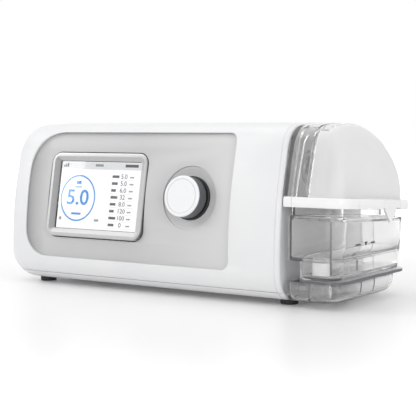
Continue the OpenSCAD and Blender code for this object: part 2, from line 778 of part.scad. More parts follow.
module silencer_foam() {
  color("darkslategray") difference() {
    translate([filter_x - box_w / 2 + box_wall + gap, box_y0 + box_wall + gap, box_z0 + box_wall + gap])
      cube([box_w - 2 * box_wall - 2 * gap, box_y1 - box_y0 - box_back - 2 * gap, foam_t]);
    translate([filter_x, box_y0 - cut, box_z0 + box_wall + gap + foam_t]) rotate([-90, 0, 0])
      cylinder(d = foam_channel, h = box_y1 - box_y0);
  }
}
module air_filter() {
  color("gainsboro") along_y(box_y1 - filter_t, box_y1 - gap) polygon(filter_outline(0.6));
}
module intake_hose() {
  color("lightgray") difference() {
    union() {
      translate([filter_x, blower_y, box_z1 + gap])
        cylinder(d = intake_d, h = hose_z - box_z1 - gap + intake_d / 2);
      disc_x(intake_d, filter_x, blower_x + intake_d / 2, blower_y, hose_z);
      translate([blower_x, blower_y, blower_z1 + blower_wall + gap])
        cylinder(d = intake_d, h = hose_z - blower_z1 - blower_wall - gap);
    }
    translate([filter_x, blower_y, box_z1 - cut])
      cylinder(d = intake_d - 2 * intake_wall, h = hose_z - box_z1 + cut);
    disc_x(intake_d - 2 * intake_wall, filter_x, blower_x, blower_y, hose_z);
    translate([blower_x, blower_y, blower_z1])
      cylinder(d = intake_d - 2 * intake_wall, h = hose_z - blower_z1);
  }
}
hose_z = top_z - wall - intake_d / 2 - 2 * gap;
// The filter cover snaps off to the rear on its own slide
module filter_cover() {
  color("white") difference() {
    along_y(body_y1 - wall + 0.1, body_y1 - 0.1) polygon(filter_outline(0.3));
    for (k = [-4:4]) translate([filter_x + 4 * k, 0, filter_z])
      along_y(body_y1 - wall, body_y1) polygon(rounded(box_pts(-1, -10, 1, 10), [0.9, 0.9, 0.9, 0.9]));
  }
}

// Pressure sensor and its tube from the outlet duct to the main board
module flow_sensor() {
  color("darkslateblue") difference() {
    translate([outlet_x - 6, port_y[1] - 8, port_z - duct_d / 2 - 9]) cube([12, 16, 8.4]);
    translate([outlet_x, port_y[1], port_z - duct_d / 2 - 12]) cylinder(d = 3, h = 6);
  }
}

// Seals round the air ports, in front of the end wall
seal_x0 = wall_x0 + 0.2;
seal_x1 = unit_x1 + chamber_gap - free_gap / 2;
module port_seals() {
  color("dimgray") for (y = port_y) difference() {
    disc_x(port_d + 2.7, seal_x0, seal_x1, y, port_z);
    disc_x(port_d - 1, seal_x0 - cut, seal_x1 + cut, y, port_z);
  }
}

// Sprung contacts reach through the end wall to the heater plate's pads
contact_y = body_y0 + 60;
contact_z = plate_z0 + plate_t / 2;
contact_pitch = 14;
module heater_contacts() {
  color("goldenrod") for (s = [-1, 1]) {
    disc_x(3, wall_x0 - 12, contact_x1, contact_y + s * contact_pitch / 2, contact_z);
  }
}
contact_x1 = unit_x1 + chamber_gap / 2;
module contact_block() {
  color("black") difference() {
    translate([wall_x0 - gap - 10, contact_y - contact_pitch / 2 - 5, contact_z - 4])
      cube([10, contact_pitch + 10, 8]);
    for (s = [-1, 1])
      disc_x(3 + 2 * gap, wall_x0 - 12, wall_x0 + cut, contact_y + s * contact_pitch / 2, contact_z);
  }
}

// Water chamber: shared places
rim_x0 = cham_x0 + rim_gap;
tank_x0 = cham_x0 + tank_gap;
rim_y0 = body_y0 + 3.7;
rim_z0 = top_z - rim_down;
tank_y0 = rim_y0 + 2;
tank_y1 = rim_y0 + rim_d - tank_back;
tank_x1 = end_x - 3.3;
tank_r = rim_r - 1.5;
neck_x1 = tank_x1 - groove_d;
neck_y1 = rim_d - tank_back - groove_d;
module on_rim(x, y, z) {
  translate([0, rim_y0, rim_z0]) rotate([-rim_slope, 0, 0]) translate([x, y, z]) children();
}
function rim_outline(d) = rounded(
  box_pts(rim_x0 + d, d, end_x - d, rim_d - d),
  less([1, rim_r, rim_r, 1], d)
);
function tank_outline(d) = rounded(
  box_pts(tank_x0 + d, tank_y0 + d, tank_x1 - d, tank_y1 - d),
  less([2, tank_r, tank_r, 2], d)
);
function sump_outline(d) = rounded(
  box_pts(tank_x0 + step_w + d, tank_y0 + d, tank_x1 - d, tank_y1 - d),
  less([5, tank_r, tank_r, 5], d)
);
function neck_outline(d) = rounded(
  box_pts(tank_x0 + 0.6 + d, 2 + groove_d + d, neck_x1 - d, neck_y1 - d),
  less([2, tank_r - 2, tank_r - 2, 2], d)
);
// Everything below the tank's shoulder and inside its drafted end
module below_shoulder(d) {
  intersection() {
    on_rim(0, -30, -groove_h - d - 100) cube([total_w, rim_d + 60, 100]);
    translate([tank_x1 - d, 0, rim_z0 - groove_h]) rotate([0, -tank_draft, 0])
      translate([-total_w, -total_d, -120]) cube([total_w, 2 * total_d, 160]);
  }
}
module tank_form(d) {
  union() {
    intersection() {
      along_z(tank_z0 + step_h + d, top_z) polygon(tank_outline(d));
      below_shoulder(d);
    }
    intersection() {
      along_z(tank_z0 + d, top_z) polygon(sump_outline(d));
      below_shoulder(d);
    }
  }
}
hinge_y = rim_d + 3;
hinge_z = rim_h / 2;
hinge_d = 2.4;
ear_r = 2.6;
ear_w = 4.5;
lid_ear_x = [tank_x0 + 3, end_x - rim_r - ear_w];
tank_ear_x = [lid_ear_x[0] + ear_w + 0.4, lid_ear_x[1] - ear_w - 0.4];
neck_top = rim_h - clear_wall - 1.5;
// The rim's rear wall stays clear of the neck while the lid swings
neck_reach = hinge_y - neck_y1;
swing_gap = neck_reach - sqrt(pow(neck_reach - 2 * gap, 2) - pow(hinge_z, 2));
function pocket_outline() = rounded(
  box_pts(tank_x0 + 0.1, 1.5 + groove_d, neck_x1 + 0.5, neck_y1 + swing_gap),
  less([2, tank_r - 2, tank_r - 2, 2], -0.5)
);
module water_tank() {
  color([0.85, 0.9, 0.95, 0.4]) {
    difference() {
      union() {
        tank_form(0);
        on_rim(0, 0, -groove_h - 1) linear_extrude(groove_h + 1 + neck_top) polygon(neck_outline(0));
      }
      tank_form(clear_wall);
      on_rim(0, 0, -groove_h - 3 * clear_wall) linear_extrude(60) polygon(neck_outline(clear_wall));
    }
    for (x = tank_ear_x) tank_ear(x);
  }
}
// Each rear ear grows from the tank's shoulder and holds a hinge pin
module tank_ear(x) {
  difference() {
    on_rim(x, 0, 0) union() {
      translate([0, neck_y1 - 0.5, -groove_h + 0.2]) cube([ear_w, hinge_y - neck_y1 + 3, groove_h - 0.8]);
      translate([0, rim_d + 0.5, -groove_h + 0.2]) cube([ear_w, 5.1, groove_h + hinge_z]);
      translate([0, hinge_y, hinge_z]) rotate([0, 90, 0]) cylinder(r = ear_r, h = ear_w);
    }
    on_rim(x - cut, hinge_y, hinge_z) rotate([0, 90, 0]) cylinder(d = hinge_d, h = ear_w + 2 * cut);
  }
}
module hinge_pins() {
  color("silver") for (k = [0, 1])
    on_rim(min(lid_ear_x[k], tank_ear_x[k]), hinge_y, hinge_z) rotate([0, 90, 0])
      cylinder(d = hinge_d, h = 2 * ear_w + 0.4);
}
module heater_plate() {
  color("dimgray") {
    intersection() {
      along_z(plate_z0, tank_z0 - 0.05) polygon(sump_outline(-0.4));
      translate([-total_w + 0.4, 0, 0]) below_shoulder_wide();
    }
    for (s = [-1, 1]) translate([cham_x0 + free_gap, contact_y + s * contact_pitch / 2 - 2.5, plate_z0])
      cube([tank_x0 + step_w - cham_x0 + 2, 5, plate_t - 0.05]);
  }
}
module below_shoulder_wide() {
  translate([tank_x1, 0, rim_z0 - groove_h]) rotate([0, -tank_draft, 0])
    translate([0, -total_d, -120]) cube([total_w, 2 * total_d, 160]);
}
module tank_baffle() {
  color([0.85, 0.9, 0.95, 0.4])
    translate([tank_x0 + step_w + 12.7, tank_y0 + 20, tank_z0 + clear_wall + gap])
    difference() {
      cube([1.6, 60, 34]);
      translate([-cut, 24, -cut]) cube([4, 12, 8]);
    }
}
cup_x = tank_x0 + step_w + 11.7;
cup_y = tank_y0 + 10.5;
cup_d = 11;
cup_h = 9;
cup_wall = 1.5;
module float_cup() {
  color("whitesmoke") difference() {
    translate([cup_x, cup_y, tank_z0 + clear_wall + gap]) cylinder(d = cup_d, h = cup_h);
    translate([cup_x, cup_y, tank_z0 + clear_wall + gap + cup_wall])
      cylinder(d = cup_d - 2 * cup_wall, h = cup_h);
  }
}

// Clear tray under the tank
tray_x1 = end_x - tray_set;
tray_y0 = body_y0 + 7.7;
tray_top = plate_z0 - gap;
tray_low_r = 9;
tray_r = 11;
function tray_plan(d) = rounded(
  box_pts(cham_x0 + d, tray_y0 + d, tray_x1 - d, tray_y0 + tray_d - d),
  less([2.5, tray_r, tray_r, 2.5], d)
);
function tray_side(d) = rounded(
  box_pts(tray_y0 + d, low_z + d, tray_y0 + tray_d - d, top_z),
  less([tray_low_r, tray_low_r, 0, 0], d)
);
module tray_form(d, z1) {
  intersection() {
    along_z(low_z, z1) polygon(tray_plan(d));
    along_x(cham_x0 - cut, end_x) polygon(tray_side(d));
  }
}
tongue_y = [tray_y0 + 22, tray_y0 + tray_d - 22];
tongue_w = 12;
tongue_z = low_z + 6;
tongue_t = 3;
boss_d = 16;
module chamber_tray() {
  color([0.85, 0.9, 0.95, 0.4]) {
    difference() {
      tray_form(0, tray_top);
      tray_form(clear_wall, tray_top + cut);
      for (y = tongue_y) translate([cham_x0 - cut, y - tongue_w / 2 - free_gap, tongue_z - free_gap])
        cube([10, tongue_w + 2 * free_gap, tongue_t + 2 * free_gap]);
    }
    translate([cham_x0 + 20, tray_y0 + 11.5, low_z + clear_wall - 0.3]) difference() {
      cylinder(d = boss_d, h = tray_top - low_z - clear_wall + 0.3);
      translate([0, 0, 1.5]) cylinder(d = boss_d - 4, h = 20);
    }
    for (y = [tray_y0 + tray_d * 0.42, tray_y0 + tray_d * 0.62])
      translate([cham_x0 + clear_wall - 0.3, y, low_z + 3])
      cube([tray_x1 - cham_x0 - 2 * clear_wall + 0.6, 1.6, tray_top - low_z - 3]);
  }
}
module dock_tongues() {
  color("gainsboro") for (y = tongue_y) translate([wall_x1, y - tongue_w / 2, tongue_z])
    cube([cham_x0 + 8 - wall_x1, tongue_w, tongue_t]);
}

// Lid: rim, gasket, dome and the arch inside it
module lid_rim() {
  color("white") {
    difference() {
      on_rim(0, 0, 0) linear_extrude(rim_h) polygon(rim_outline(0));
      on_rim(0, 0, -cut) linear_extrude(cut + rim_h - clear_wall) polygon(pocket_outline());
      on_rim(0, 0, -cut) linear_extrude(3 * rim_h) polygon(neck_outline(clear_wall + 1));
      latch_notch();
      latch_bore();
    }
    for (x = lid_ear_x) difference() {
      on_rim(x, 0, 0) union() {
        translate([0, rim_d - 1, hinge_z - ear_r]) cube([ear_w, hinge_y - rim_d + 1, 2 * ear_r]);
        translate([0, hinge_y, hinge_z]) rotate([0, 90, 0]) cylinder(r = ear_r, h = ear_w);
      }
      on_rim(x - cut, hinge_y, hinge_z) rotate([0, 90, 0])
        cylinder(d = hinge_d + 2 * run_fit, h = ear_w + 2 * cut);
    }
  }
}
module lid_gasket() {
  color("gainsboro") on_rim(0, 0, neck_top + 0.1)
    linear_extrude(rim_h - clear_wall - neck_top - 0.15) difference() {
    polygon(neck_outline(0));
    polygon(neck_outline(clear_wall));
  }
}
dome_x1 = end_x - dome_set;
dome_y0 = body_y0 + 4.6;
dome_y1 = rim_y0 + rim_d - 2.5;
dome_peak_y = body_y0 + crown_d + 1;
dome_top = top_z - 0.5;
dome_base = rim_z0 - 10;
// Dome section in Y and Z: bowed front, flat top and a full quarter ellipse down the rear
dome_full = 0.91;
function dome_section(d) =
  let (
    front = rounded(
      [
        [dome_peak_y, dome_base - 20],
        [dome_y0 + d, dome_base - 20],
        [dome_y0 + d, rim_z0 + rim_h],
        [dome_y0 + bow_y3 - 1.6 + d, dome_top - 2 - d],
        [dome_peak_y, dome_top - d]
      ],
      [0, 0, 60, max(front_top_r - d, 1), 0]
    ),
    rear = [for (a = [6:6:90]) [
      dome_peak_y + (dome_y1 - d - dome_peak_y) * pow(sin(a), dome_full),
      dome_base + 14 + (dome_top - d - dome_base - 14) * pow(cos(a), dome_full)
    ]]
  )
  concat(front, rear, [[dome_y1 - d, dome_base - 20]]);
function dome_plan(d) = rounded(
  box_pts(cham_x0 + d, dome_y0 + d, dome_x1 - d, dome_y1 - d),
  less([d, dome_r, dome_r, d], d)
);
// The dome's end is crowned: above its belly it leans in along an arc
dome_belly = rim_z0 + rim_h + 2;
dome_crown_r = 100;
dome_shoulder = dome_top - dome_r;
function crown_in(z) = pow(z - dome_belly, 2) / (2 * dome_crown_r);
function dome_end(d) =
  let (
    lean = (dome_shoulder - dome_belly) / dome_crown_r,
    top_x = dome_x1 - d - crown_in(dome_shoulder) - lean * (dome_top - d - dome_shoulder),
    arc = [for (i = [0:7])
      let (z = dome_belly + i * (dome_shoulder - dome_belly) / 7) [dome_x1 - d - crown_in(z), z]]
  )
  rounded(
    concat(
      [[cham_x0 + d, low_z], [dome_x1 - d, low_z]],
      arc,
      [[top_x, dome_top - d], [cham_x0 + d, dome_top - d]]
    ),
    concat([0, 0], [for (p = arc) 0], [max(dome_r - d, 0), 0])
  );
module dome_form(d) {
  intersection() {
    along_x(cham_x0 + d, dome_x1) polygon(dome_section(d));
    along_z(low_z, top_z + cut) polygon(dome_plan(d));
    along_y(dome_y0 - cut, dome_y1 + cut) polygon(dome_end(d));
  }
}
module lid_dome() {
  color([0.9, 0.93, 0.97, 0.35]) difference() {
    dome_form(0);
    dome_form(clear_wall);
    on_rim(-total_w, -60, rim_h - 100) cube([2 * total_w, rim_d + 120, 100.05]);
    for (y = port_y) disc_x(port_d - 1, cham_x0 - cut, cham_x0 + clear_wall + cut, y, port_z);
  }
}
// The inner arch stiffens the dome next to the ports
arch_x0 = cham_x0 + 5;
arch_t = 2.4;
arch_rise = 4;
module lid_arch() {
  color([0.9, 0.93, 0.97, 0.5]) intersection() {
    difference() {
      along_x(arch_x0, arch_x0 + arch_t) polygon(dome_section(clear_wall + 0.15));
      along_x(arch_x0 - cut, arch_x0 + arch_t + cut) polygon(dome_section(clear_wall + arch_rise));
    }
    along_z(low_z, top_z) polygon(dome_plan(clear_wall + 0.15));
    on_rim(-total_w, -60, rim_h + 0.1) cube([2 * total_w, rim_d + 120, 100]);
  }
}

// Latch on the rim's end: a pivoting tab whose tail hangs beside the groove
latch_y = 59;
latch_w = 26;
latch_t = 2.2;
tail_w = 18;
tail_drop = 8.7;
tail_t = 1.4;
latch_pin_d = 1.4;
latch_axis_x = end_x - 1.3;
latch_axis_z = rim_h - 1.8;
module latch_notch() {
  on_rim(end_x - latch_t - free_gap, latch_y - 0.3, -cut) cube([latch_t + 4, latch_w + 0.6, 3 * rim_h]);
}
module latch_bore() {
  on_rim(latch_axis_x, latch_y - 3.5, latch_axis_z) rotate([-90, 0, 0])
    cylinder(d = latch_pin_d + 2 * run_fit, h = latch_w + 7);
}
// The finger tail under the plate narrows to a rounded point
function tail_outline() =
  let (mid = latch_y + latch_w / 2)
  rounded(
    [[mid - tail_w / 2, 1.5], [mid - tail_w / 2, -0.5], [mid, -tail_drop - 0.6],
      [mid + tail_w / 2, -0.5], [mid + tail_w / 2, 1.5]],
    [0, 0, 1.5, 0, 0]
  );
module lid_latch() {
  color("white") difference() {
    on_rim(0, 0, 0) union() {
      translate([end_x - latch_t, latch_y, 1.2]) cube([latch_t, latch_w, latch_axis_z - 0.6]);
      translate([latch_axis_x, latch_y, latch_axis_z]) rotate([-90, 0, 0]) cylinder(r = 1.1, h = latch_w);
      along_x(end_x - latch_t, end_x - latch_t + tail_t) polygon(tail_outline());
    }
    on_rim(latch_axis_x, latch_y - cut, latch_axis_z) rotate([-90, 0, 0])
      cylinder(d = latch_pin_d, h = latch_w + 2 * cut);
  }
}
module latch_pin() {
  color("silver") on_rim(latch_axis_x, latch_y - 3.2, latch_axis_z) rotate([-90, 0, 0])
    cylinder(d = latch_pin_d, h = latch_w + 6.4);
}

upper_shell();
base_shell();
right_end_wall();
front_panel();
screen_bezel();
screen_window();
lcd_display();
display_board();
knob_dish();
knob_ring();
rotary_encoder();
encoder_board();
knob_plunger();
knob_shaft();
knob_skirt();
knob_cap();
main_board();
board_standoffs();
power_inlet();
inlet_pins();
card_slot();
card_cover();
hose_outlet();
outlet_duct();
blower_housing();
blower_cover();
blower_motor();
blower_mounts();
impeller();
blower_shaft();
silencer_box();
silencer_foam();
air_filter();
intake_hose();
filter_cover();
flow_sensor();
port_seals();
heater_contacts();
contact_block();
housing_screws();
feet();
dock_tongues();
chamber_tray();
heater_plate();
water_tank();
tank_baffle();
float_cup();
hinge_pins();
lid_rim();
lid_gasket();
lid_dome();
lid_arch();
lid_latch();
latch_pin();
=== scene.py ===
import json
import math

import bmesh
import bpy
import numpy as np
from mathutils import Matrix, Vector


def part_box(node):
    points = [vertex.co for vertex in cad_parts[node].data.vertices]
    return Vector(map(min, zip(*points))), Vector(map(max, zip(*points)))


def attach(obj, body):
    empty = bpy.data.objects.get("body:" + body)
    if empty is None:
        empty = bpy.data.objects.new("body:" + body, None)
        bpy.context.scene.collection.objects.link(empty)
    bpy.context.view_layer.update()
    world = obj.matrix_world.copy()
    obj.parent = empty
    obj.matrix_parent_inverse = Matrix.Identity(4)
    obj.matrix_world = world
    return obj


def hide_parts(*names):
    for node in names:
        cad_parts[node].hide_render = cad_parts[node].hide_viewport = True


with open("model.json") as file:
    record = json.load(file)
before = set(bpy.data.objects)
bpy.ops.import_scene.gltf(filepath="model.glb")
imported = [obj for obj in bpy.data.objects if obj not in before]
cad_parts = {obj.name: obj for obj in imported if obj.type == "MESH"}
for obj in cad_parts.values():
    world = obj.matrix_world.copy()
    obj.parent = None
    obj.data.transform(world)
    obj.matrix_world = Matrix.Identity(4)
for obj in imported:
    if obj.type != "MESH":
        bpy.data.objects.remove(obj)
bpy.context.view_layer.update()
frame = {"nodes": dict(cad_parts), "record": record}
scene = bpy.context.scene

MM = 0.001
# Vertices nearer than this are one, in metres
WELD = 1e-7


def box_mm(node):
    """The low and the high corner of a CAD node, in mm."""
    return [np.array(corner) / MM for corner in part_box(node)]


# Driving sizes of the housing in mm, as the frame has them
shell_low, shell_high = box_mm("upper_shell")
BODY_D = 120.0
LEFT_X, RIGHT_X = shell_low[0], shell_high[0]
REAR_Y = shell_high[1]
FRONT_Y = REAR_Y - BODY_D
LOW_Z, TOP_Z = 3.5, 119.5
PART_Z = shell_low[2]
WALL = 2.6
# The round left end as quarter ellipses, each with its length along X and its depth
END_TOP, END_LOW, END_FRONT = (27.0, 40.0), (21.0, 27.0), (40.0, 17.4)
EDGE_R = 2.4
FRONT_TOP_R, REAR_TOP_R, FRONT_LOW_R, REAR_LOW_R = 18.0, 22.0, 18.0, 15.0
BOW_R = 200.0
PANEL_SINK, PANEL_T = 2.2, 2.2
PANEL_W, PANEL_H, PANEL_MARGIN, PANEL_LOW = 180.5, 90.8, 25.0, 18.2
PANEL_TOP_R, PANEL_LOW_R, PANEL_SMALL_R = 28.0, 19.0, 7.0

# The leaning face that carries the display and the knob: the display's middle is its origin,
# KNOB_X and KNOB_UP lead to the knob, and the panel stands out from it by PANEL_FACE
FACE_TILT = math.radians(10.0)
LCD_W, LCD_H = 73.44, 48.96
LCD_AT = np.array([LEFT_X + 89.5, FRONT_Y + 8.74, LOW_Z + 63.5])
KNOB_X, KNOB_UP = 81.5, 1.0
PANEL_FACE = 3.3


# Outlines with round corners
def unit(v):
    return v / np.linalg.norm(v)


def moved_in(points, distances):
    """The outline with each of its edges moved inwards by its own distance."""
    count = len(points)
    along = [unit(points[(i + 1) % count] - points[i]) for i in range(count)]
    inward = [np.array([-u[1], u[0]]) for u in along]
    corners = []
    for i in range(count):
        rows = np.array([inward[i - 1], inward[i]])
        reach = [inward[k] @ points[i] + distances[k] for k in (i - 1, i)]
        corners.append(np.linalg.solve(rows, reach))
    return corners


def round_corner(before, corner, after, radius, steps):
    u, v = unit(before - corner), unit(after - corner)
    half = math.acos(float(np.clip(u @ v, -1, 1))) / 2
    centre = corner + unit(u + v) * radius / math.sin(half)
    p, q = (corner + edge * radius / math.tan(half) - centre for edge in (u, v))
    start = math.atan2(p[1], p[0])
    turn = math.atan2(p[0] * q[1] - p[1] * q[0], p @ q)
    angles = start + turn * np.linspace(0, 1, steps + 1)
    return centre + radius * np.column_stack([np.cos(angles), np.sin(angles)])


def rounded(points, radii, steps=10):
    points = [np.array(p, float) for p in points]
    after = points[1:] + points[:1]
    return np.vstack([
        round_corner(points[i - 1], points[i], after[i], max(radii[i], 0.05), steps)
        for i in range(len(points))
    ])


def box_points(x0, y0, x1, y1):
    return [np.array(p, float) for p in ((x0, y0), (x1, y0), (x1, y1), (x0, y1))]


def rounded_box(width, height, radius, steps=8):
    return rounded(box_points(-width / 2, -height / 2, width / 2, height / 2), [radius] * 4, steps)


def oval(u, v, half_u, half_v, steps):
    """Points round an ellipse, or round a circle when its half sizes are the same."""
    turns = np.linspace(0, 2 * math.pi, steps, endpoint=False)
    return [(u + half_u * math.cos(t), v + half_v * math.sin(t)) for t in turns]


# Meshes
def in_scene(name, data):
    made = bpy.data.objects.new(name, data)
    scene.collection.objects.link(made)
    return made


def new_object(name, vertices, faces):
    mesh = bpy.data.meshes.new(name)
    mesh.from_pydata([tuple(np.array(v) * MM) for v in vertices], [], faces)
    mesh.update()
    return in_scene(name, mesh)


def turn_outwards(made):
    build = bmesh.new()
    build.from_mesh(made.data)
    bmesh.ops.remove_doubles(build, verts=build.verts, dist=WELD)
    bmesh.ops.recalc_face_normals(build, faces=build.faces)
    build.to_mesh(made.data)
    build.free()


def loft(name, loops, closed_path=False):
    """A skin over loops of equally many points, with flat ends unless the path is closed."""
    loops = [np.asarray(loop, float) for loop in loops]
    n = len(loops[0])
    faces = []
    pairs = len(loops) if closed_path else len(loops) - 1
    for k in range(pairs):
        a, b = k * n, ((k + 1) % len(loops)) * n
        faces += [(a + i, a + (i + 1) % n, b + (i + 1) % n, b + i) for i in range(n)]
    if not closed_path:
        faces += [tuple(range(n))[::-1], tuple(range((len(loops) - 1) * n, len(loops) * n))]
    made = new_object(name, np.vstack(loops), faces)
    turn_outwards(made)
    return made


# Radius of a lathe's points that lie on its axis
AXIS = 0.001


def lathe(name, profile, steps):
    """A solid of revolution round Z from (radius, height) points, closed on the axis."""
    turns = np.linspace(0, 2 * math.pi, steps, endpoint=False)
    loops = [[(r * math.cos(t), r * math.sin(t), z) for r, z in profile] for t in turns]
    return loft(name, loops, closed_path=True)


def prism(name, outline, plane, low, high):
    """An outline pushed along the axis that its plane leaves free, such as Y for the plane XZ."""
    place = {
        "YZ": lambda p, t: (t, p[0], p[1]),
        "XZ": lambda p, t: (p[0], t, p[1]),
        "XY": lambda p, t: (p[0], p[1], t),
    }[plane]
    return loft(name, [[place(p, t) for p in outline] for t in (low, high)])


def block(name, low, high):
    return prism(name, box_points(low[0], low[1], high[0], high[1]), "XY", low[2], high[2])


def join(name, pieces):
    """Several pieces as one, in the first one's object."""
    made = pieces[0]
    build = bmesh.new()
    for piece in pieces:
        build.from_mesh(piece.data)
    build.to_mesh(made.data)
    build.free()
    for piece in pieces[1:]:
        bpy.data.objects.remove(piece, do_unlink=True)
    made.name = name
    return made


def settle(made, angle=32.0):
    """Applies the modifiers and shades the result smooth up to an angle."""
    graph = bpy.context.evaluated_depsgraph_get()
    mesh = bpy.data.meshes.new_from_object(made.evaluated_get(graph))
    old = made.data
    made.modifiers.clear()
    made.data = mesh
    mesh.name = made.name
    bpy.data.meshes.remove(old)
    mesh.polygons.foreach_set("use_smooth", [True] * len(mesh.polygons))
    mesh.set_sharp_from_angle(angle=math.radians(angle))
    return made


def cut(made, tools, operation="DIFFERENCE"):
    """Cuts with closed tools, or joins them on, one after another and deletes them."""
    for tool in tools:
        step = made.modifiers.new("cut", "BOOLEAN")
        step.operation = operation
        step.solver = "EXACT"
        step.object = tool
        settle(made)
        bpy.data.objects.remove(tool, do_unlink=True)
    return made


def ease(made, width, segments, angle):
    """Rounds the sharp edges, as a mould does."""
    step = made.modifiers.new("ease", "BEVEL")
    step.width = width * MM
    step.segments = segments
    step.limit_method = "ANGLE"
    step.angle_limit = math.radians(angle)
    return settle(made)


def place_on_face(made, x=0.0, up=0.0):
    """Moves a piece made round its own origin to a place on the leaning face."""
    middle = Matrix.Translation(Vector(LCD_AT * MM))
    turn = Matrix.Rotation(math.pi / 2 - FACE_TILT, 4, "X")
    made.data.transform(middle @ turn @ Matrix.Translation(Vector((x, up, 0)) * MM))
    made.data.update()
    return made


def finish_piece(made, body, material, stands_for=()):
    made.data.materials.clear()
    made.data.materials.append(material)
    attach(made, body)
    if stands_for:
        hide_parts(*stands_for)
    return made


# Materials
def linear(code):
    """An sRGB hex colour as the linear values that the shader takes."""
    channels = [int(code[i:i + 2], 16) / 255 for i in (1, 3, 5)]
    return (*(c / 12.92 if c <= 0.04045 else ((c + 0.055) / 1.055) ** 2.4 for c in channels), 1.0)


def add(tree, kind, settings=None, *sources, **links):
    """Adds one node with its settings, then its links, in socket order and by socket name."""
    node = tree.nodes.new(kind)
    for key, value in (settings or {}).items():
        if isinstance(key, str) and hasattr(node, key):
            setattr(node, key, value)
        else:
            node.inputs[key].default_value = value
    for k, source in enumerate(sources):
        tree.links.new(source, node.inputs[k])
    for key, source in links.items():
        tree.links.new(source, node.inputs[key])
    return node


def surface(name, colour, **settings):
    """A material with one Principled shader, its values set on the sockets."""
    made = bpy.data.materials.new(name)
    made.use_nodes = True
    shader = made.node_tree.nodes["Principled BSDF"]
    shader.inputs["Base Color"].default_value = linear(colour)
    for key, value in settings.items():
        shader.inputs[key.replace("_", " ")].default_value = value
    return made, made.node_tree, shader


def patches(tree, size_mm, detail):
    """Noise with patches or grains of this size in millimetres."""
    where = add(tree, "ShaderNodeTexCoord")
    noise = add(tree, "ShaderNodeTexNoise", {"Scale": 1000.0 / size_mm, "Detail": detail},
                Vector=where.outputs["Object"])
    return noise.outputs["Fac"]


def grain(tree, shader, grain_mm, depth_mm, strength, detail=3.0):
    """A moulded texture: fine noise as bump, with its depth in millimetres."""
    bump = add(tree, "ShaderNodeBump", {"Strength": strength, "Distance": depth_mm * MM},
               Height=patches(tree, grain_mm, detail))
    tree.links.new(bump.outputs["Normal"], shader.inputs["Normal"])


def colour_by(tree, shader, value, *stops):
    """Colours a surface by a value, with (value, colour) stops from low to high."""
    first, *between, last = stops
    ramp = add(tree, "ShaderNodeValToRGB", None, value)
    marks = ramp.color_ramp.elements
    for mark, (place, code) in zip((marks[0], marks[1]), (first, last)):
        mark.position, mark.color = place, linear(code)
    for place, code in between:
        marks.new(place).color = linear(code)
    tree.links.new(ramp.outputs["Color"], shader.inputs["Base Color"])


def mottle(tree, shader, colour_a, colour_b, patch_mm):
    """Two near shades of one colour in soft patches."""
    colour_by(tree, shader, patches(tree, patch_mm, 2.0), (0.35, colour_a), (0.65, colour_b))


def axes(tree, space):
    """The X, Y and Z of a point of the surface in this space, such as Object or Normal."""
    where = add(tree, "ShaderNodeTexCoord")
    return add(tree, "ShaderNodeSeparateXYZ", None, where.outputs[space]).outputs


def plain(name, colour, relief, patchy=None, **settings):
    """A material with a relief: its grain and depth in mm, its strength and its detail.

    A patchy one has two near shades, and the size of their patches in mm.
    """
    made, tree, shader = surface(name, colour, **settings)
    grain(tree, shader, *relief)
    if patchy:
        mottle(tree, shader, *patchy)
    return made


def grey_abs_painted_light_and_shade():
    """Painted ABS panel with a matte fine grain; painted shade darkens its left end, under the
    shell's raised edge, and painted light brightens its right end.
    """
    made, tree, shader = surface("grey_matte_painted_abs", "#cdcdcd", Roughness=0.5, IOR=1.5)
    grain(tree, shader, 0.4, 0.008, 0.6)
    # Painted shade at the panel's left end and painted light at its right end, by a colour ramp
    # along X
    start = (LEFT_X + PANEL_MARGIN) * MM
    share = add(tree, "ShaderNodeMapRange", {"From Min": start, "From Max": start + PANEL_W * MM},
                axes(tree, "Object")["X"])
    colour_by(tree, shader, share.outputs[0], (0.0, "#949495"), (0.045, "#b4b4b4"),
              (0.1, "#cacaca"), (0.55, "#c6c6c6"), (1.0, "#d8d8d8"))
    return made


def bezel_abs_painted_light_and_shade():
    """Silver-grey satin metallic paint, with painted light on its upward faces and painted shade on
    its faces turned to +X.
    """
    made, tree, shader = surface("silver_painted_abs", "#c3c3c4", Roughness=0.3, Metallic=0.35,
                                 IOR=1.5)
    grain(tree, shader, 0.3, 0.004, 0.5)
    # Painted light and shade by the way each face turns: lighter facing up, darker facing +X
    normal = axes(tree, "Normal")
    up = add(tree, "ShaderNodeMath", {"operation": "MAXIMUM", 1: 0.2}, normal["Z"])
    aside = add(tree, "ShaderNodeMath", {"operation": "MAXIMUM", 1: 0.05}, normal["X"])
    flip = add(tree, "ShaderNodeMath", {"operation": "SUBTRACT"}, up.outputs[0], aside.outputs[0])
    share = add(tree, "ShaderNodeMapRange", {"From Min": -0.6, "From Max": 0.9}, flip.outputs[0])
    colour_by(tree, shader, share.outputs[0], (0.0, "#6c6c6d"), (0.5, "#c3c3c4"),
              (1.0, "#f2f2f2"))
    return made


def heater_metal():
    """Anodised aluminium of the heater plate: light on its level faces, dark on its upright edge
    faces.
    """
    made, tree, shader = surface("anodised_aluminium", "#b4b6b8", Roughness=0.34, Metallic=0.7)
    grain(tree, shader, 0.25, 0.004, 0.6)
    level = add(tree, "ShaderNodeMath", {"operation": "ABSOLUTE"}, axes(tree, "Normal")["Z"])
    colour_by(tree, shader, level.outputs[0], (0.4, "#6a6c70"), (0.7, "#dcdddf"))
    return made


def glowing(name, code, strength):
    """A lit area of the display behind its window."""
    made, _, shader = surface(name, "#101214", Roughness=0.5)
    shader.inputs["Emission Color"].default_value = linear(code)
    shader.inputs["Emission Strength"].default_value = strength
    return made


# Injection-moulded ABS with a satin spark-eroded face: a wide soft highlight
WHITE = plain("white_satin_abs", "#e9eaeb", (0.45, 0.006, 0.5), ("#e8e9ea", "#ebecec", 40),
              Roughness=0.42, IOR=1.53)
GREY_PANEL = grey_abs_painted_light_and_shade()
BEZEL_GREY = bezel_abs_painted_light_and_shade()
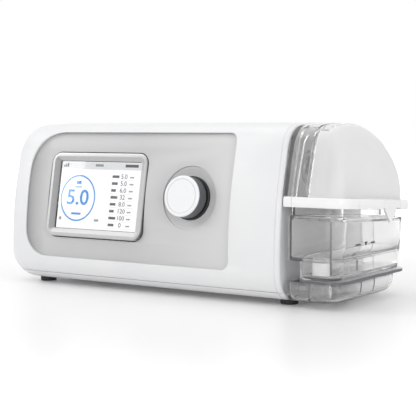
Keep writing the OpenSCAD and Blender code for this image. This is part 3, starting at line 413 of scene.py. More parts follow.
# Polished PMMA sheet over the display: clear, with a sharp reflection
WINDOW = plain("clear_window_pmma", "#ffffff", (6.0, 0.001, 0.2),
               Roughness=0.03, IOR=1.49, Transmission_Weight=1.0)
# Polished white ABS of the knob's cap: a sharper highlight than the housing
GLOSS_WHITE = plain("white_polished_abs", "#f2f3f4", (1.2, 0.002, 0.4), Roughness=0.2, IOR=1.53)
# Satin paint with a metal flake on the knob's skirt: dark grey with a long soft glint
KNOB_METAL = plain("dark_grey_metallic_paint", "#6a6c70", (0.2, 0.003, 0.5),
                   Roughness=0.34, Metallic=0.55)
# Black moulded nylon, dull and slightly rough
BLACK_NYLON = plain("black_nylon", "#1b1c1e", (0.3, 0.008, 0.6), Roughness=0.5, IOR=1.53)
# Clear moulded polycarbonate of the chamber: water clear, with faint flow lines
CLEAR = plain("clear_polycarbonate", "#fefefe", (30.0, 0.05, 0.15, 1.0),
              Roughness=0.02, IOR=1.36, Transmission_Weight=0.93)
# Milky polycarbonate of the rim: near white, with light bleeding through
MILKY = plain("milky_polycarbonate", "#fdfdfd", (0.8, 0.003, 0.4),
              Roughness=0.25, IOR=1.45, Transmission_Weight=0.08)
# Spark-eroded polycarbonate of the dome's end: a pale veil that hides what is behind it
FROSTED_END = plain("frosted_polycarbonate", "#ffffff", (0.6, 0.004, 0.4),
                    Roughness=0.34, IOR=1.38, Transmission_Weight=0.4)
# Unpainted ABS of the wall that the chamber docks to: light grey and dull
END_WALL = plain("light_grey_abs", "#e2e3e4", (0.4, 0.01, 0.6), Roughness=0.5, IOR=1.53)
# Silicone seals: grey, translucent and dull
SILICONE = plain("grey_silicone", "#c9ccce", (0.6, 0.01, 0.5),
                 Roughness=0.45, IOR=1.43, Transmission_Weight=0.3)
HEATER = heater_metal()
# Black rubber feet and mounts, dull with a dusty bloom
RUBBER = plain("black_rubber", "#2c2d2f", (0.5, 0.02, 0.7), ("#2a2b2d", "#343537", 4),
               Roughness=0.72, IOR=1.52)
# Unpainted ABS of the inner ducts: mid grey and dull
DUCT_GREY = plain("grey_duct_abs", "#b4b6ba", (0.4, 0.01, 0.6), Roughness=0.5, IOR=1.53)
# Turned steel of shafts, pins and screws: bright, with a very fine grain
STEEL = plain("turned_steel", "#b8babd", (0.15, 0.002, 0.5), Roughness=0.28, Metallic=1.0)
# Plated brass contacts and stand-offs: warm and bright
BRASS = plain("plated_brass", "#c9a860", (0.2, 0.002, 0.5), Roughness=0.3, Metallic=1.0)
# Solder mask over glass fibre: a slightly uneven green lacquer
BOARD = plain("green_solder_mask", "#1d5a38", (0.8, 0.02, 0.6), ("#1a5233", "#23663f", 3),
              Roughness=0.35, IOR=1.5)
# Open-cell acoustic foam: dark, with deep pores
FOAM = plain("open_cell_foam", "#3a3c3f", (1.2, 0.5, 1.0, 4.0), Roughness=0.95)
# Needled filter felt: white and woolly
FELT = plain("needled_filter_felt", "#dddcd8", (0.5, 0.15, 1.0, 5.0), Roughness=0.9)
# Pad-printed ink of the level mark: dark grey and matt
INK = plain("dark_grey_ink", "#3d4045", (0.3, 0.002, 0.5), Roughness=0.6)
SCREEN_WHITE = glowing("display_white", "#ffffff", 0.98)
SCREEN_BAR = glowing("display_bar_grey", "#dcdddf", 0.95)
SCREEN_LINE = glowing("display_line_grey", "#ecedee", 0.9)
SCREEN_BLUE = glowing("display_blue", "#0090e4", 0.9)
SCREEN_DARK = glowing("display_text_grey", "#4a4e54", 0.9)
SCREEN_MID = glowing("display_text_light", "#8f9499", 0.9)


# Camera, fitted to the photo: its place in mm, yaw, pitch and focal length
CAMERA_AT = np.array([462.57, -685.58, 115.61])
CAMERA_YAW, CAMERA_PITCH = math.radians(33.82), math.radians(4.04)
FOCAL_PX, FRAME_PX, SENSOR_MM = 1131.5, 416, 36.0


def make_camera():
    lens = bpy.data.cameras.new("camera")
    lens.sensor_width = SENSOR_MM
    lens.lens = FOCAL_PX / FRAME_PX * SENSOR_MM
    lens.clip_start, lens.clip_end = 0.01, 20.0
    made = in_scene("camera", lens)
    made.location = Vector(CAMERA_AT * MM)
    made.rotation_euler = (math.pi / 2 - CAMERA_PITCH, 0, CAMERA_YAW)
    scene.camera = made


# The floor's half side and its place under the feet, in mm
FLOOR_HALF, FLOOR_DROP = 6000.0, 0.2
# How much the floor glows near the part and far away, and where that begins and ends, in metres
LIFT_NEAR, LIFT_FAR, LIFT_FROM, LIFT_TO = 0.08, 0.9, 0.2, 0.75
WORLD_LIGHT, GLOSS_LIGHT = 0.62, 1.0


def to_the_eye(tree):
    """1 for a ray from the camera, straight or through a clear wall, and 0 for all others."""
    rays = add(tree, "ShaderNodeLightPath").outputs
    seen = add(tree, "ShaderNodeMath", {"operation": "MAXIMUM"},
               rays["Is Camera Ray"], rays["Is Transmission Ray"])
    return seen.outputs[0]


def make_stage():
    """A white sweep with a painted glow, seen only by the eye: faint near the part, where the
    shadow stays, and growing with distance until the floor is as white as the world.
    """
    outline = box_points(-FLOOR_HALF, -FLOOR_HALF, FLOOR_HALF, FLOOR_HALF)
    floor = new_object("floor", [(x, y, 0) for x, y in outline], [(0, 1, 2, 3)])
    floor.location.z = -FLOOR_DROP * MM
    made, tree, shader = surface("white_sweep", "#f4f4f4", Roughness=0.32, IOR=1.4,
                                 Specular_IOR_Level=0.25)
    grain(tree, shader, 3.0, 0.01, 0.15)
    # Painted light: the floor glows to the eye, faintly near the part and strongly far away
    where = add(tree, "ShaderNodeTexCoord")
    away = add(tree, "ShaderNodeVectorMath", {"operation": "LENGTH"}, where.outputs["Object"])
    rise = add(tree, "ShaderNodeMapRange", {
        "interpolation_type": "SMOOTHSTEP", "From Min": LIFT_FROM, "From Max": LIFT_TO,
        "To Min": LIFT_NEAR, "To Max": LIFT_FAR,
    }, away.outputs["Value"])
    level = add(tree, "ShaderNodeMath", {"operation": "MULTIPLY"}, to_the_eye(tree),
                rise.outputs[0])
    lift = add(tree, "ShaderNodeEmission", {"Color": (1, 1, 1, 1)}, Strength=level.outputs[0])
    both = add(tree, "ShaderNodeAddShader", None, shader.outputs[0], lift.outputs[0])
    tree.links.new(both.outputs[0], tree.nodes["Material Output"].inputs["Surface"])
    floor.data.materials.append(made)


def make_world():
    """White to the eye and in reflections, and dimmer as a light on the part."""
    world = bpy.data.worlds.new("studio")
    scene.world = world
    world.use_nodes = True
    tree = world.node_tree
    rays = add(tree, "ShaderNodeLightPath")
    gloss = add(tree, "ShaderNodeMix", {"data_type": "FLOAT", 2: WORLD_LIGHT, 3: GLOSS_LIGHT},
                rays.outputs["Is Glossy Ray"])
    level = add(tree, "ShaderNodeMix", {"data_type": "FLOAT", 3: 1.0}, to_the_eye(tree),
                A=gloss.outputs[0])
    back = tree.nodes["Background"]
    back.inputs["Color"].default_value = (1, 1, 1, 1)
    tree.links.new(level.outputs[0], back.inputs["Strength"])


def soft_box(name, at, towards, width, height, watts):
    lamp = bpy.data.lights.new(name, "AREA")
    lamp.shape = "RECTANGLE"
    lamp.size, lamp.size_y = width, height
    lamp.energy = watts
    made = in_scene(name, lamp)
    made.location = at
    made.rotation_euler = (Vector(towards) - Vector(at)).to_track_quat("-Z", "Y").to_euler()


def make_lights():
    # Places and sizes in metres, power in watts
    soft_box("top_box", (0.0, 0.05, 1.1), (0, 0, 0), 1.2, 0.9, 3.2)
    soft_box("left_box", (-1.1, -0.7, 0.7), (0, 0, 0.06), 0.8, 0.8, 4.8)
    soft_box("right_box", (1.3, -0.5, 0.5), (0.05, 0, 0.06), 0.7, 0.7, 4.0)
    soft_box("front_box", (0.5, -1.6, 0.25), (0, 0, 0.06), 1.0, 0.5, 2.8)


scene.view_settings.view_transform = "Standard"
make_camera()
make_stage()
make_world()
make_lights()


# Housing
BODY_H = TOP_Z - LOW_Z
BOW_Z1, BOW_Z2, TOP_FRONT_Z = BODY_H * 0.33, BODY_H * 0.59, BODY_H - 2.2
# How the front's three flats lean back, from the underside up
LEAN_LOW, LEAN_MID, LEAN_HIGH = (math.tan(math.radians(a)) for a in (2, 6.5, 12.5))
BOW_Y2 = (BOW_Z2 - BOW_Z1) * LEAN_MID
BOW_Y3 = BOW_Y2 + (TOP_FRONT_Z - BOW_Z2) * LEAN_HIGH
CREST_BACK, REAR_DROP = 43, 0.6
SIDE_POINTS = [np.array(p) for p in (
    (FRONT_Y + BOW_Z1 * LEAN_LOW, LOW_Z),
    (REAR_Y, LOW_Z),
    (REAR_Y, TOP_Z - REAR_DROP),
    (FRONT_Y + BOW_Y3 + CREST_BACK, TOP_Z),
    (FRONT_Y + BOW_Y3, LOW_Z + TOP_FRONT_Z),
    (FRONT_Y + BOW_Y2, LOW_Z + BOW_Z2),
    (FRONT_Y, LOW_Z + BOW_Z1),
)]
SIDE_RADII = [FRONT_LOW_R, REAR_LOW_R, REAR_TOP_R, BOW_R / 2, FRONT_TOP_R, BOW_R, BOW_R]
SIDE_EDGES = [unit(SIDE_POINTS[(i + 1) % 7] - SIDE_POINTS[i]) for i in range(7)]
# The middle of the hose outlet and of the chamber's ports
OUTLET_X, PORT_Z = RIGHT_X - 27, TOP_Z - 30
OUTLET_HOLE_R, PORT_R = 13.15, 9.5
# How far the cutters of the rear wall and of the left end reach
WALL_REACH = {"XZ": (REAR_Y - 6, REAR_Y + 6), "YZ": (LEFT_X - 5, LEFT_X + 6)}
# Past every side of the part
FAR = 400
SEAM_GAP = 0.35


def side_section(in_y, in_top, in_low=None, steps=10):
    """The housing's side profile, its flats, its top and its underside each moved in."""
    in_low = in_top if in_low is None else in_low
    in_z = [in_low, in_low, in_top, in_top, in_top, in_top, in_low]
    distances = [math.hypot(edge[1] * in_y, edge[0] * z) for edge, z in zip(SIDE_EDGES, in_z)]
    radii = [max(r - (in_y + z) / 2, 3.0) if r < BOW_R / 2 else r
             for r, z in zip(SIDE_RADII, in_z)]
    return rounded(moved_in(SIDE_POINTS, distances), radii, steps)


def end_inset(sizes, inset, along):
    """How far a quarter ellipse of these sizes stands in at a distance from the end."""
    length, depth = sizes[0] - inset, sizes[1] - inset
    return inset + depth * (1 - math.sqrt(1 - max(1 - along / length, 0) ** 2))


def end_stations(inset):
    """(x, in_y, in_top, in_low) along the round left end."""
    ends = (END_FRONT, END_TOP, END_LOW)
    reach = max(length for length, _ in ends) - inset
    stations = []
    for angle in np.linspace(0, math.pi / 2, 18):
        along = reach * (1 - math.cos(angle)) * math.sin(angle) ** 0.5
        stations.append((LEFT_X + inset + along, *(end_inset(e, inset, along) for e in ends)))
    return stations


def housing_solid(name):
    """The whole hollow housing, open at its right-hand end."""
    outer = end_stations(0)
    # A shadow groove before the eased edge, as (distance before it, depth)
    for back, sunk in ((1.0, 0), (0.85, 0.5), (0.35, 0.5), (0.2, 0.1)):
        outer.append((RIGHT_X - EDGE_R - back, sunk, sunk, sunk))
    for angle in np.linspace(0, math.pi / 2, 6):
        eased = EDGE_R * (1 - math.cos(angle))
        outer.append((RIGHT_X - EDGE_R * (1 - math.sin(angle)), eased, eased, eased))
    inner = [(RIGHT_X, WALL, WALL, WALL)] + end_stations(WALL)[::-1]
    loops = [[(x, y, z) for y, z in side_section(*insets)] for x, *insets in outer + inner]
    return loft(name, loops)


def panel_cutter(grow=0.0):
    """The front panel's outline with its four corners, larger all round by a width."""
    x0, z0 = LEFT_X + PANEL_MARGIN, LOW_Z + PANEL_LOW
    corners = box_points(x0 - grow, z0 - grow, x0 + PANEL_W + grow, z0 + PANEL_H + grow)
    radii = [PANEL_LOW_R, PANEL_SMALL_R, PANEL_SMALL_R, PANEL_TOP_R]
    outline = rounded(corners, [r + grow for r in radii], 12)
    return prism("cutter", outline, "XZ", FRONT_Y - 10, FRONT_Y + 26)


def opening(node, plane, grow, radii, steps=6):
    """A cutter through the wall at a CAD piece, larger than it all round by a clearance."""
    low, high = box_mm(node)
    a, b = {"XZ": (0, 2), "YZ": (1, 2)}[plane]
    corners = box_points(low[a] - grow, low[b] - grow, high[a] + grow, high[b] + grow)
    return prism("cutter", rounded(corners, radii, steps), plane, *WALL_REACH[plane])


def make_housing():
    upper = housing_solid("upper_shell_skin")
    outlet = oval(OUTLET_X, PORT_Z, OUTLET_HOLE_R, OUTLET_HOLE_R, 64)
    cut(upper, [
        block("cutter", (-FAR, -FAR, -FAR), (FAR, FAR, PART_Z)),
        panel_cutter(),
        prism("cutter", outlet, "XZ", *WALL_REACH["XZ"]),
        opening("power_inlet", "XZ", -2.8, [2.2, 2.2, 6.2, 6.2]),
        opening("filter_cover", "XZ", 0.25, [2.2] * 4),
        opening("card_cover", "YZ", 0.2, [1.0] * 4, 4),
    ])
    ease(upper, 0.5, 2, 50)
    finish_piece(upper, "main_unit", WHITE, ["upper_shell"])
    base = housing_solid("base_shell_skin")
    slots = []
    for k in range(6):
        x = LEFT_X + 40 + 5 * k
        corners = box_points(x - 1.2, FRONT_Y + 45, x + 1.2, FRONT_Y + 75)
        slots.append(prism("cutter", rounded(corners, [1.1] * 4, 4), "XY", -2, LOW_Z + 6))
    cut(base, [block("cutter", (-FAR, -FAR, PART_Z - SEAM_GAP), (FAR, FAR, FAR))] + slots)
    ease(base, 0.3, 2, 50)
    finish_piece(base, "main_unit", WHITE, ["base_shell"])


def front_curve(depth, reach, turn):
    """The front's curve at this depth under the surface, upwards for turn 1, downwards for -1."""
    points = [p for p in side_section(depth, depth, steps=14)
              if p[0] < FRONT_Y + reach and p[1] > LOW_Z + 4]
    return sorted(points, key=lambda p: turn * p[1])


BEZEL_EDGE, BEZEL_RISE, BEZEL_R = 3.1, 3.8, 8.0
BEZEL_W, BEZEL_H = LCD_W + 14.2, LCD_H + 12.5
# The bezel's rear face and the seat behind its lip, out from the display's face
BEZEL_REAR, BEZEL_SEAT = -4.0, 1.45
DISH_D, RING_D, KNOB_D, KNOB_H, CAP_H = 43.7, 30.2, 28.0, 10.0, 1.5
DISH_RIM = PANEL_FACE - 1.1
DISH_FLOOR = DISH_RIM - 1.8
KNOB_BASE = PANEL_FACE + 0.3
KNOB_TOP = PANEL_FACE + KNOB_H
CAP_Z0 = KNOB_TOP - CAP_H
BUSH_R = 4.8


def make_panel():
    outline = front_curve(PANEL_SINK, 24, 1) + front_curve(PANEL_SINK + PANEL_T, 26, -1)
    panel = prism("front_panel_skin", outline, "YZ", LEFT_X + 8, RIGHT_X - 8)
    cut(panel, [panel_cutter(2.4)], "INTERSECT")
    around = rounded_box(BEZEL_W + 1.3, BEZEL_H + 1.3, BEZEL_R + 0.6)
    hole = loft("cutter", [[(x, z, out) for x, z in around] for out in (-20, 20)])
    radius = DISH_D / 2 + 0.05
    dish = lathe("cutter", [(AXIS, -20), (radius, -20), (radius, 20), (AXIS, 20)], 96)
    cut(panel, [place_on_face(hole), place_on_face(dish, KNOB_X, KNOB_UP)])
    ease(panel, 0.3, 2, 45)
    finish_piece(panel, "main_unit", GREY_PANEL, ["front_panel"])


def make_bezel():
    """One moulding: an eased flat edge, a slope down to the window and a pocket behind."""
    flat_w, flat_h = BEZEL_W - 2 * BEZEL_EDGE, BEZEL_H - 2 * BEZEL_EDGE
    inner_w, inner_h = LCD_W + 0.8, LCD_H + 0.8
    pocket_w, pocket_h = LCD_W + 5.7, LCD_H + 6.1
    rings = [
        (pocket_w, pocket_h, 0.6, BEZEL_REAR),
        (BEZEL_W, BEZEL_H, BEZEL_R, BEZEL_REAR),
        (BEZEL_W, BEZEL_H, BEZEL_R, BEZEL_RISE - 1.2),
        (BEZEL_W - 0.3, BEZEL_H - 0.3, BEZEL_R - 0.15, BEZEL_RISE - 0.5),
        (BEZEL_W - 1.1, BEZEL_H - 1.1, BEZEL_R - 0.5, BEZEL_RISE - 0.1),
        (BEZEL_W - 2.2, BEZEL_H - 2.2, BEZEL_R - 1.1, BEZEL_RISE),
        (flat_w + 0.8, flat_h + 0.8, 4.2, BEZEL_RISE),
        (flat_w, flat_h, 3.8, BEZEL_RISE - 0.3),
        (inner_w + 0.9, inner_h + 0.9, 1.6, 1.9),
        (inner_w, inner_h, 1.0, BEZEL_SEAT),
        (pocket_w, pocket_h, 0.6, BEZEL_SEAT),
    ]
    loops = [[(x, z, out) for x, z in rounded_box(w, h, radius)] for w, h, radius, out in rings]
    bezel = loft("screen_bezel_skin", loops, closed_path=True)
    settle(place_on_face(bezel))
    finish_piece(bezel, "main_unit", BEZEL_GREY, ["screen_bezel"])


# What the display shows: thin areas just over its face, sizes and places in mm
def thin_plate(name, outline, low, high):
    return place_on_face(loft(name, [[(x, z, out) for x, z in outline] for out in (low, high)]))


def on_screen(made, material):
    return finish_piece(made, "main_unit", material)


def screen_bar(name, x, up, width, height, material, out=0.02):
    outline = box_points(x - width / 2, up - height / 2, x + width / 2, up + height / 2)
    return on_screen(thin_plate(name, outline, out, out + 0.04), material)


# The size of Blender's font that gives a numeral of height 1
FONT_SIZE = 1.42


def screen_number(name, text, x, up, height, material, wide, bold):
    """Plain numerals drawn on the display, centred on a place and turned into a mesh."""
    curve = bpy.data.curves.new(name, "FONT")
    curve.body = text
    curve.size = height * FONT_SIZE
    curve.align_x, curve.align_y = "CENTER", "CENTER"
    curve.extrude = 0.02
    curve.offset = bold
    curve.resolution_u = 4
    shown = in_scene(name + "_outline", curve)
    graph = bpy.context.evaluated_depsgraph_get()
    graph.update()
    mesh = bpy.data.meshes.new_from_object(shown.evaluated_get(graph))
    bpy.data.objects.remove(shown, do_unlink=True)
    size = Matrix.Diagonal((wide * MM, MM, MM, 1))
    mesh.transform(Matrix.Translation(Vector((x, up, 0.04)) * MM) @ size)
    return on_screen(place_on_face(in_scene(name, mesh)), material)


def screen_ring(name, x, up, width, height, stroke, material):
    loops = []
    for half, out in ((0.5, 0.02), (0.5, 0.06), (-0.5, 0.06), (-0.5, 0.02)):
        points = oval(x, up, width / 2 + half * stroke, height / 2 + half * stroke, 96)
        loops.append([(u, v, out) for u, v in points])
    return on_screen(place_on_face(loft(name, loops, closed_path=True)), material)


def make_display():
    picture = thin_plate("lcd_picture", rounded_box(LCD_W, LCD_H, 0.3, 2), -0.05, 0.0)
    on_screen(picture, SCREEN_WHITE)
    back = thin_plate("lcd_module", rounded_box(LCD_W + 5.2, LCD_H + 5.6, 0.5, 3), -3.0, -0.06)
    finish_piece(settle(back), "main_unit", BLACK_NYLON, ["lcd_display"])
    screen_bar("title_bar", 0, 21.6, LCD_W - 0.4, 5.2, SCREEN_BAR)
    screen_ring("gauge_ring", -18.8, -2.2, 31.4, 32.8, 1.1, SCREEN_BLUE)
    screen_number("gauge_value", "5.0", -19.0, -2.2, 11.0, SCREEN_BLUE, 1.12, 0.2)
    screen_bar("gauge_mark_top", -19.0, 9.2, 4.6, 2.2, SCREEN_BLUE)
    screen_bar("gauge_line_top", -19.3, 5.9, 6.4, 0.7, SCREEN_BLUE)
    screen_bar("gauge_mark_low", -19.1, -13.6, 8.8, 1.5, SCREEN_BLUE)
    for k in range(3):
        x, up, height = -34.2 + 1.7 * k, 21.2 + 0.35 * k, 1.6 + 0.7 * k
        screen_bar(f"signal_bar_{k}", x, up, 1.1, height, SCREEN_DARK, 0.07)
    screen_bar("title_mid", -1.4, 22.0, 7.4, 1.7, SCREEN_MID, 0.07)
    screen_bar("title_right", 28.0, 22.0, 11.6, 2.0, SCREEN_DARK, 0.07)
    for k, value in enumerate(("5.0", "5.0", "6.0", "32", "8.0", "120", "100", "0")):
        up, wide = 14.2 - 4.95 * k, 6.2 - 1.0 * (k % 3)
        screen_bar(f"reading_label_{k}", 11.4 + wide / 2, up, wide, 1.9, SCREEN_DARK)
        screen_number(f"reading_value_{k}", value, 22.0, up, 3.2, SCREEN_DARK, 1.05, 0.03)
        screen_bar(f"reading_unit_{k}", 29.0, up - 0.4, 3.4, 1.0, SCREEN_MID)
        screen_bar(f"reading_line_{k}", 21.0, up - 2.45, 23.0, 0.3, SCREEN_LINE)
    screen_bar("status_left", -33.6, -17.4, 1.9, 2.2, SCREEN_MID)
    screen_bar("status_mid", 0.4, -17.8, 4.0, 1.6, SCREEN_MID)


def knob_piece(name, profile, body, material, stands_for, angle=32.0):
    made = place_on_face(lathe(name, profile, 160), KNOB_X, KNOB_UP)
    return finish_piece(settle(made, angle), body, material, stands_for)


def arc(centre_r, centre_z, radius, start, end, steps):
    """Points of a round edge, in degrees from the radius direction towards the axis."""
    angles = np.radians(np.linspace(start, end, steps + 1))
    return [(centre_r + radius * math.cos(a), centre_z + radius * math.sin(a)) for a in angles]


def make_knob():
    dish, ring, knob = DISH_D / 2, RING_D / 2, KNOB_D / 2
    ring_top = KNOB_BASE - 1.4
    knob_piece("knob_dish_skin", [
        (BUSH_R, DISH_FLOOR - 1.6), (dish, DISH_FLOOR - 1.6), (dish, DISH_RIM - 0.3),
        *arc(dish - 0.3, DISH_RIM - 0.3, 0.3, 0, 90, 3), (dish - 1.0, DISH_RIM - 0.1),
        (dish - 2.6, DISH_FLOOR + 0.8), (ring + 1.2, DISH_FLOOR + 0.2),
        (ring + 0.2, DISH_FLOOR), (BUSH_R, DISH_FLOOR),
    ], "main_unit", GREY_PANEL, ["knob_dish"])
    knob_piece("knob_ring_skin", [
        (BUSH_R + 1.4, DISH_FLOOR + 0.05), (ring, DISH_FLOOR + 0.05),
        *arc(ring - 0.6, ring_top - 0.6, 0.6, 0, 90, 4), (BUSH_R + 1.4, ring_top),
    ], "main_unit", BLACK_NYLON, ["knob_ring"])
    knob_piece("knob_skirt_skin", [
        (3.0, 4.0), (knob - 2, 4.0), (knob - 2, KNOB_BASE),
        *arc(knob - 0.3, KNOB_BASE + 0.4, 0.4, -90, 0, 3),
        (knob - 0.25, CAP_Z0 - 0.5), (knob - 0.7, CAP_Z0), (3.0, CAP_Z0),
    ], "knob", KNOB_METAL, ["knob_skirt"])
    # The cap's face lies a little lower inside a thin groove
    face = KNOB_TOP - 0.12
    knob_piece("knob_cap_skin", [
        (AXIS, CAP_Z0 + 0.05), (knob - 0.5, CAP_Z0 + 0.05),
        *arc(knob - 0.2, CAP_Z0 + 0.25, 0.2, -80, 0, 3),
        *arc(knob - 0.9, KNOB_TOP - 0.9, 0.9, 0, 90, 8),
        (knob - 2.1, KNOB_TOP), (knob - 2.2, KNOB_TOP - 0.7),
        (knob - 2.6, KNOB_TOP - 0.7), (knob - 2.75, face), (AXIS, face),
    ], "knob", GLOSS_WHITE, ["knob_cap"], 24.0)


FOOT_R, FOOT_H = 6.0, 5.0


def make_feet():
    low, high = box_mm("feet")
    profile = [(AXIS, 0.0), (FOOT_R - 0.8, 0.0), *arc(FOOT_R - 0.8, 0.8, 0.8, -80, 0, 4),
               (FOOT_R, FOOT_H), (AXIS, FOOT_H)]
    feet = []
    for x in (low[0] + FOOT_R, high[0] - FOOT_R):
        for y in (low[1] + FOOT_R, high[1] - FOOT_R):
            foot = lathe("foot", profile, 64)
            foot.data.transform(Matrix.Translation(Vector((x, y, 0)) * MM))
            feet.append(foot)
    joined = join("rubber_feet", feet)
    finish_piece(settle(joined), "main_unit", RUBBER, ["feet"])


# Water chamber and its lid
CHAM_X0 = RIGHT_X + 0.8
rim_low, rim_high = box_mm("lid_rim")
RIM_X0, END_X = rim_low[0], rim_high[0]
TANK_X0, TANK_BACK = CHAM_X0 + 3.3, 3.0
RIM_Y0, RIM_Z0 = FRONT_Y + 3.7, TOP_Z - 54.1
RIM_D, RIM_H, RIM_R, RIM_SLOPE = 108.0, 6.8, 13.0, math.radians(3.4)
CLEAR_T = 2.0
TANK_Y0, TANK_Y1, TANK_X1 = RIM_Y0 + 2, RIM_Y0 + RIM_D - TANK_BACK, END_X - 3.3
TANK_Z0, STEP_H, STEP_W, TANK_R = LOW_Z + 15.5, 12.0, 7.0, RIM_R - 1.5
GROOVE_H, GROOVE_D, TANK_DRAFT = 5.0, 3.4, math.radians(4.0)
NECK_TOP = RIM_H - CLEAR_T - 1.5
# The rim's pocket is this much wider than the neck
NECK_GAP = 0.5
# The hinge: the pins' line behind the rim, half its height up, and the ears' width
PIN_Y, PIN_Z, EAR_W = RIM_D + 3, RIM_H / 2, 4.5
EAR_X0, EAR_X1, EAR_STEP = TANK_X0 + 3, END_X - RIM_R - EAR_W, 4.9
DOME_X1, DOME_Y0, DOME_Y1 = END_X - 5.5, FRONT_Y + 4.6, RIM_Y0 + RIM_D - 2.5
DOME_TOP, DOME_R, DOME_FULL, PEAK_Y = TOP_Z - 0.5, 10.0, 0.91, FRONT_Y + 44
# The fold between the dome's clear hood and its frosted end
FOLD_X = 118.5
DOME_BELLY, DOME_CROWN_R, DOME_SHOULDER = RIM_Z0 + RIM_H + 2, 100.0, DOME_TOP - DOME_R
TRAY_X1, TRAY_Y0, TRAY_D, TRAY_R = END_X - 8.8, FRONT_Y + 7.7, 98.0, 9
TRAY_TOP = TANK_Z0 - 2.15


def on_rim(x, y, z):
    """A point given in the sloping rim's own frame."""
    s, c = math.sin(RIM_SLOPE), math.cos(RIM_SLOPE)
    return (x, RIM_Y0 + y * c + z * s, RIM_Z0 - y * s + z * c)


def box_outline(x0, y0, x1, y1, inset, left_r, right_r):
    """A box outline moved in, with its own radius at the left and right corners."""
    radii = [max(r - inset, 0.4) for r in (left_r, right_r, right_r, left_r)]
    return rounded(box_points(x0 + inset, y0 + inset, x1 - inset, y1 - inset), radii, 8)


def rim_loop(inset, up):
    outline = box_outline(RIM_X0, 0, END_X, RIM_D, inset, 1.2, RIM_R)
    return [on_rim(x, y, up) for x, y in outline]


def neck_loop(inset, up):
    outline = box_outline(TANK_X0 + 0.6, 2 + GROOVE_D, TANK_X1 - GROOVE_D,
                          RIM_D - TANK_BACK - GROOVE_D, inset, 2, TANK_R - 2)
    return [on_rim(x, y, up) for x, y in outline]


def tank_loop(inset, up=None, below=0.0, sump=False):
    """A level line of the tank: at a height, or at a distance under the sloping shoulder."""
    x0, left_r, shrink = (TANK_X0 + STEP_W, 5.0, 0.45) if sump else (TANK_X0, 2.0, 0.0)
    outline = box_outline(x0, TANK_Y0 + shrink, TANK_X1 - shrink, TANK_Y1 - shrink,
                          inset, left_r, TANK_R)
    loop = []
    for x, y in outline:
        shoulder = RIM_Z0 - (y - RIM_Y0) * math.tan(RIM_SLOPE) - GROOVE_H
        z = shoulder - below if up is None else up
        lean = (RIM_Z0 - GROOVE_H - z) * math.tan(TANK_DRAFT)
        share = np.clip((x - x0) / (TANK_X1 - x0), 0, 1)
        loop.append((x - lean * share, y, z))
    return loop


def rim_block(name, low, high):
    """A block in the rim's frame."""
    corners = box_points(low[0], low[1], high[0], high[1])
    return loft(name, [[on_rim(x, y, z) for x, y in corners] for z in (low[2], high[2])])


def ear_eye(x, radius):
    """The round eye of a hinge ear, a little thinner than the ear."""
    points = oval(PIN_Y, PIN_Z, radius, radius, 32)
    ends = (x + 0.01, x + EAR_W - 0.01)
    return loft("ear", [[on_rim(end, y, z) for y, z in points] for end in ends])


def make_tank():
    floor, ledge, thick = TANK_Z0, TANK_Z0 + STEP_H, CLEAR_T
    # Up the outside over the step and the shoulder to the neck's edge, then down the inside
    outer = [tank_loop(inset, up, sump=True) for inset, up in (
        (1.6, floor), (0.5, floor + 0.45), (0, floor + 1.6), (0, floor + 6),
        (0, ledge - 0.4), (-0.2, ledge - 0.05),
    )]
    outer += [tank_loop(inset, up) for inset, up in (
        (0.7, ledge), (0.1, ledge + 0.4), (0, ledge + 1.0), (0, ledge + 9),
    )]
    outer += [tank_loop(inset, None, below) for inset, below in ((0, 1.2), (0.35, 0.35), (1.2, 0))]
    outer += [neck_loop(inset, up) for inset, up in (
        (0, -GROOVE_H + 0.05), (0, 0), (0, NECK_TOP - 0.4), (0.4, NECK_TOP),
    )]
    inner = [neck_loop(inset, up) for inset, up in (
        (thick - 0.4, NECK_TOP), (thick, NECK_TOP - 0.4), (thick, 0),
        (thick, -GROOVE_H - thick + 0.3),
    )]
    inner += [tank_loop(thick + 1, None, thick), tank_loop(thick, None, thick + 1.2)]
    inner += [tank_loop(inset, up) for inset, up in (
        (thick, ledge + 10), (thick, ledge + thick + 1), (thick + 0.8, ledge + thick),
    )]
    inner += [tank_loop(inset, up, sump=True) for inset, up in (
        (thick - 0.4, ledge + thick - 0.05), (thick, ledge + thick - 0.6), (thick, floor + 6),
        (thick, floor + thick + 1.4), (thick + 1.4, floor + thick),
    )]
    tank = loft("water_tank_skin", outer + inner)
    arm_y = RIM_D - TANK_BACK - GROOVE_D - 0.4
    ears = []
    for x in (EAR_X0 + EAR_STEP, EAR_X1 - EAR_STEP):
        ears += [
            rim_block("ear", (x, arm_y, -GROOVE_H + 0.2), (x + EAR_W, RIM_D + 5.6, -0.6)),
            rim_block("ear", (x, RIM_D + 0.5, -GROOVE_H + 0.25), (x + EAR_W, RIM_D + 5.55, PIN_Z)),
            ear_eye(x, 2.6),
        ]
    cut(tank, ears, "UNION")
    settle(tank, 40)
    finish_piece(tank, "chamber", CLEAR, ["water_tank"])


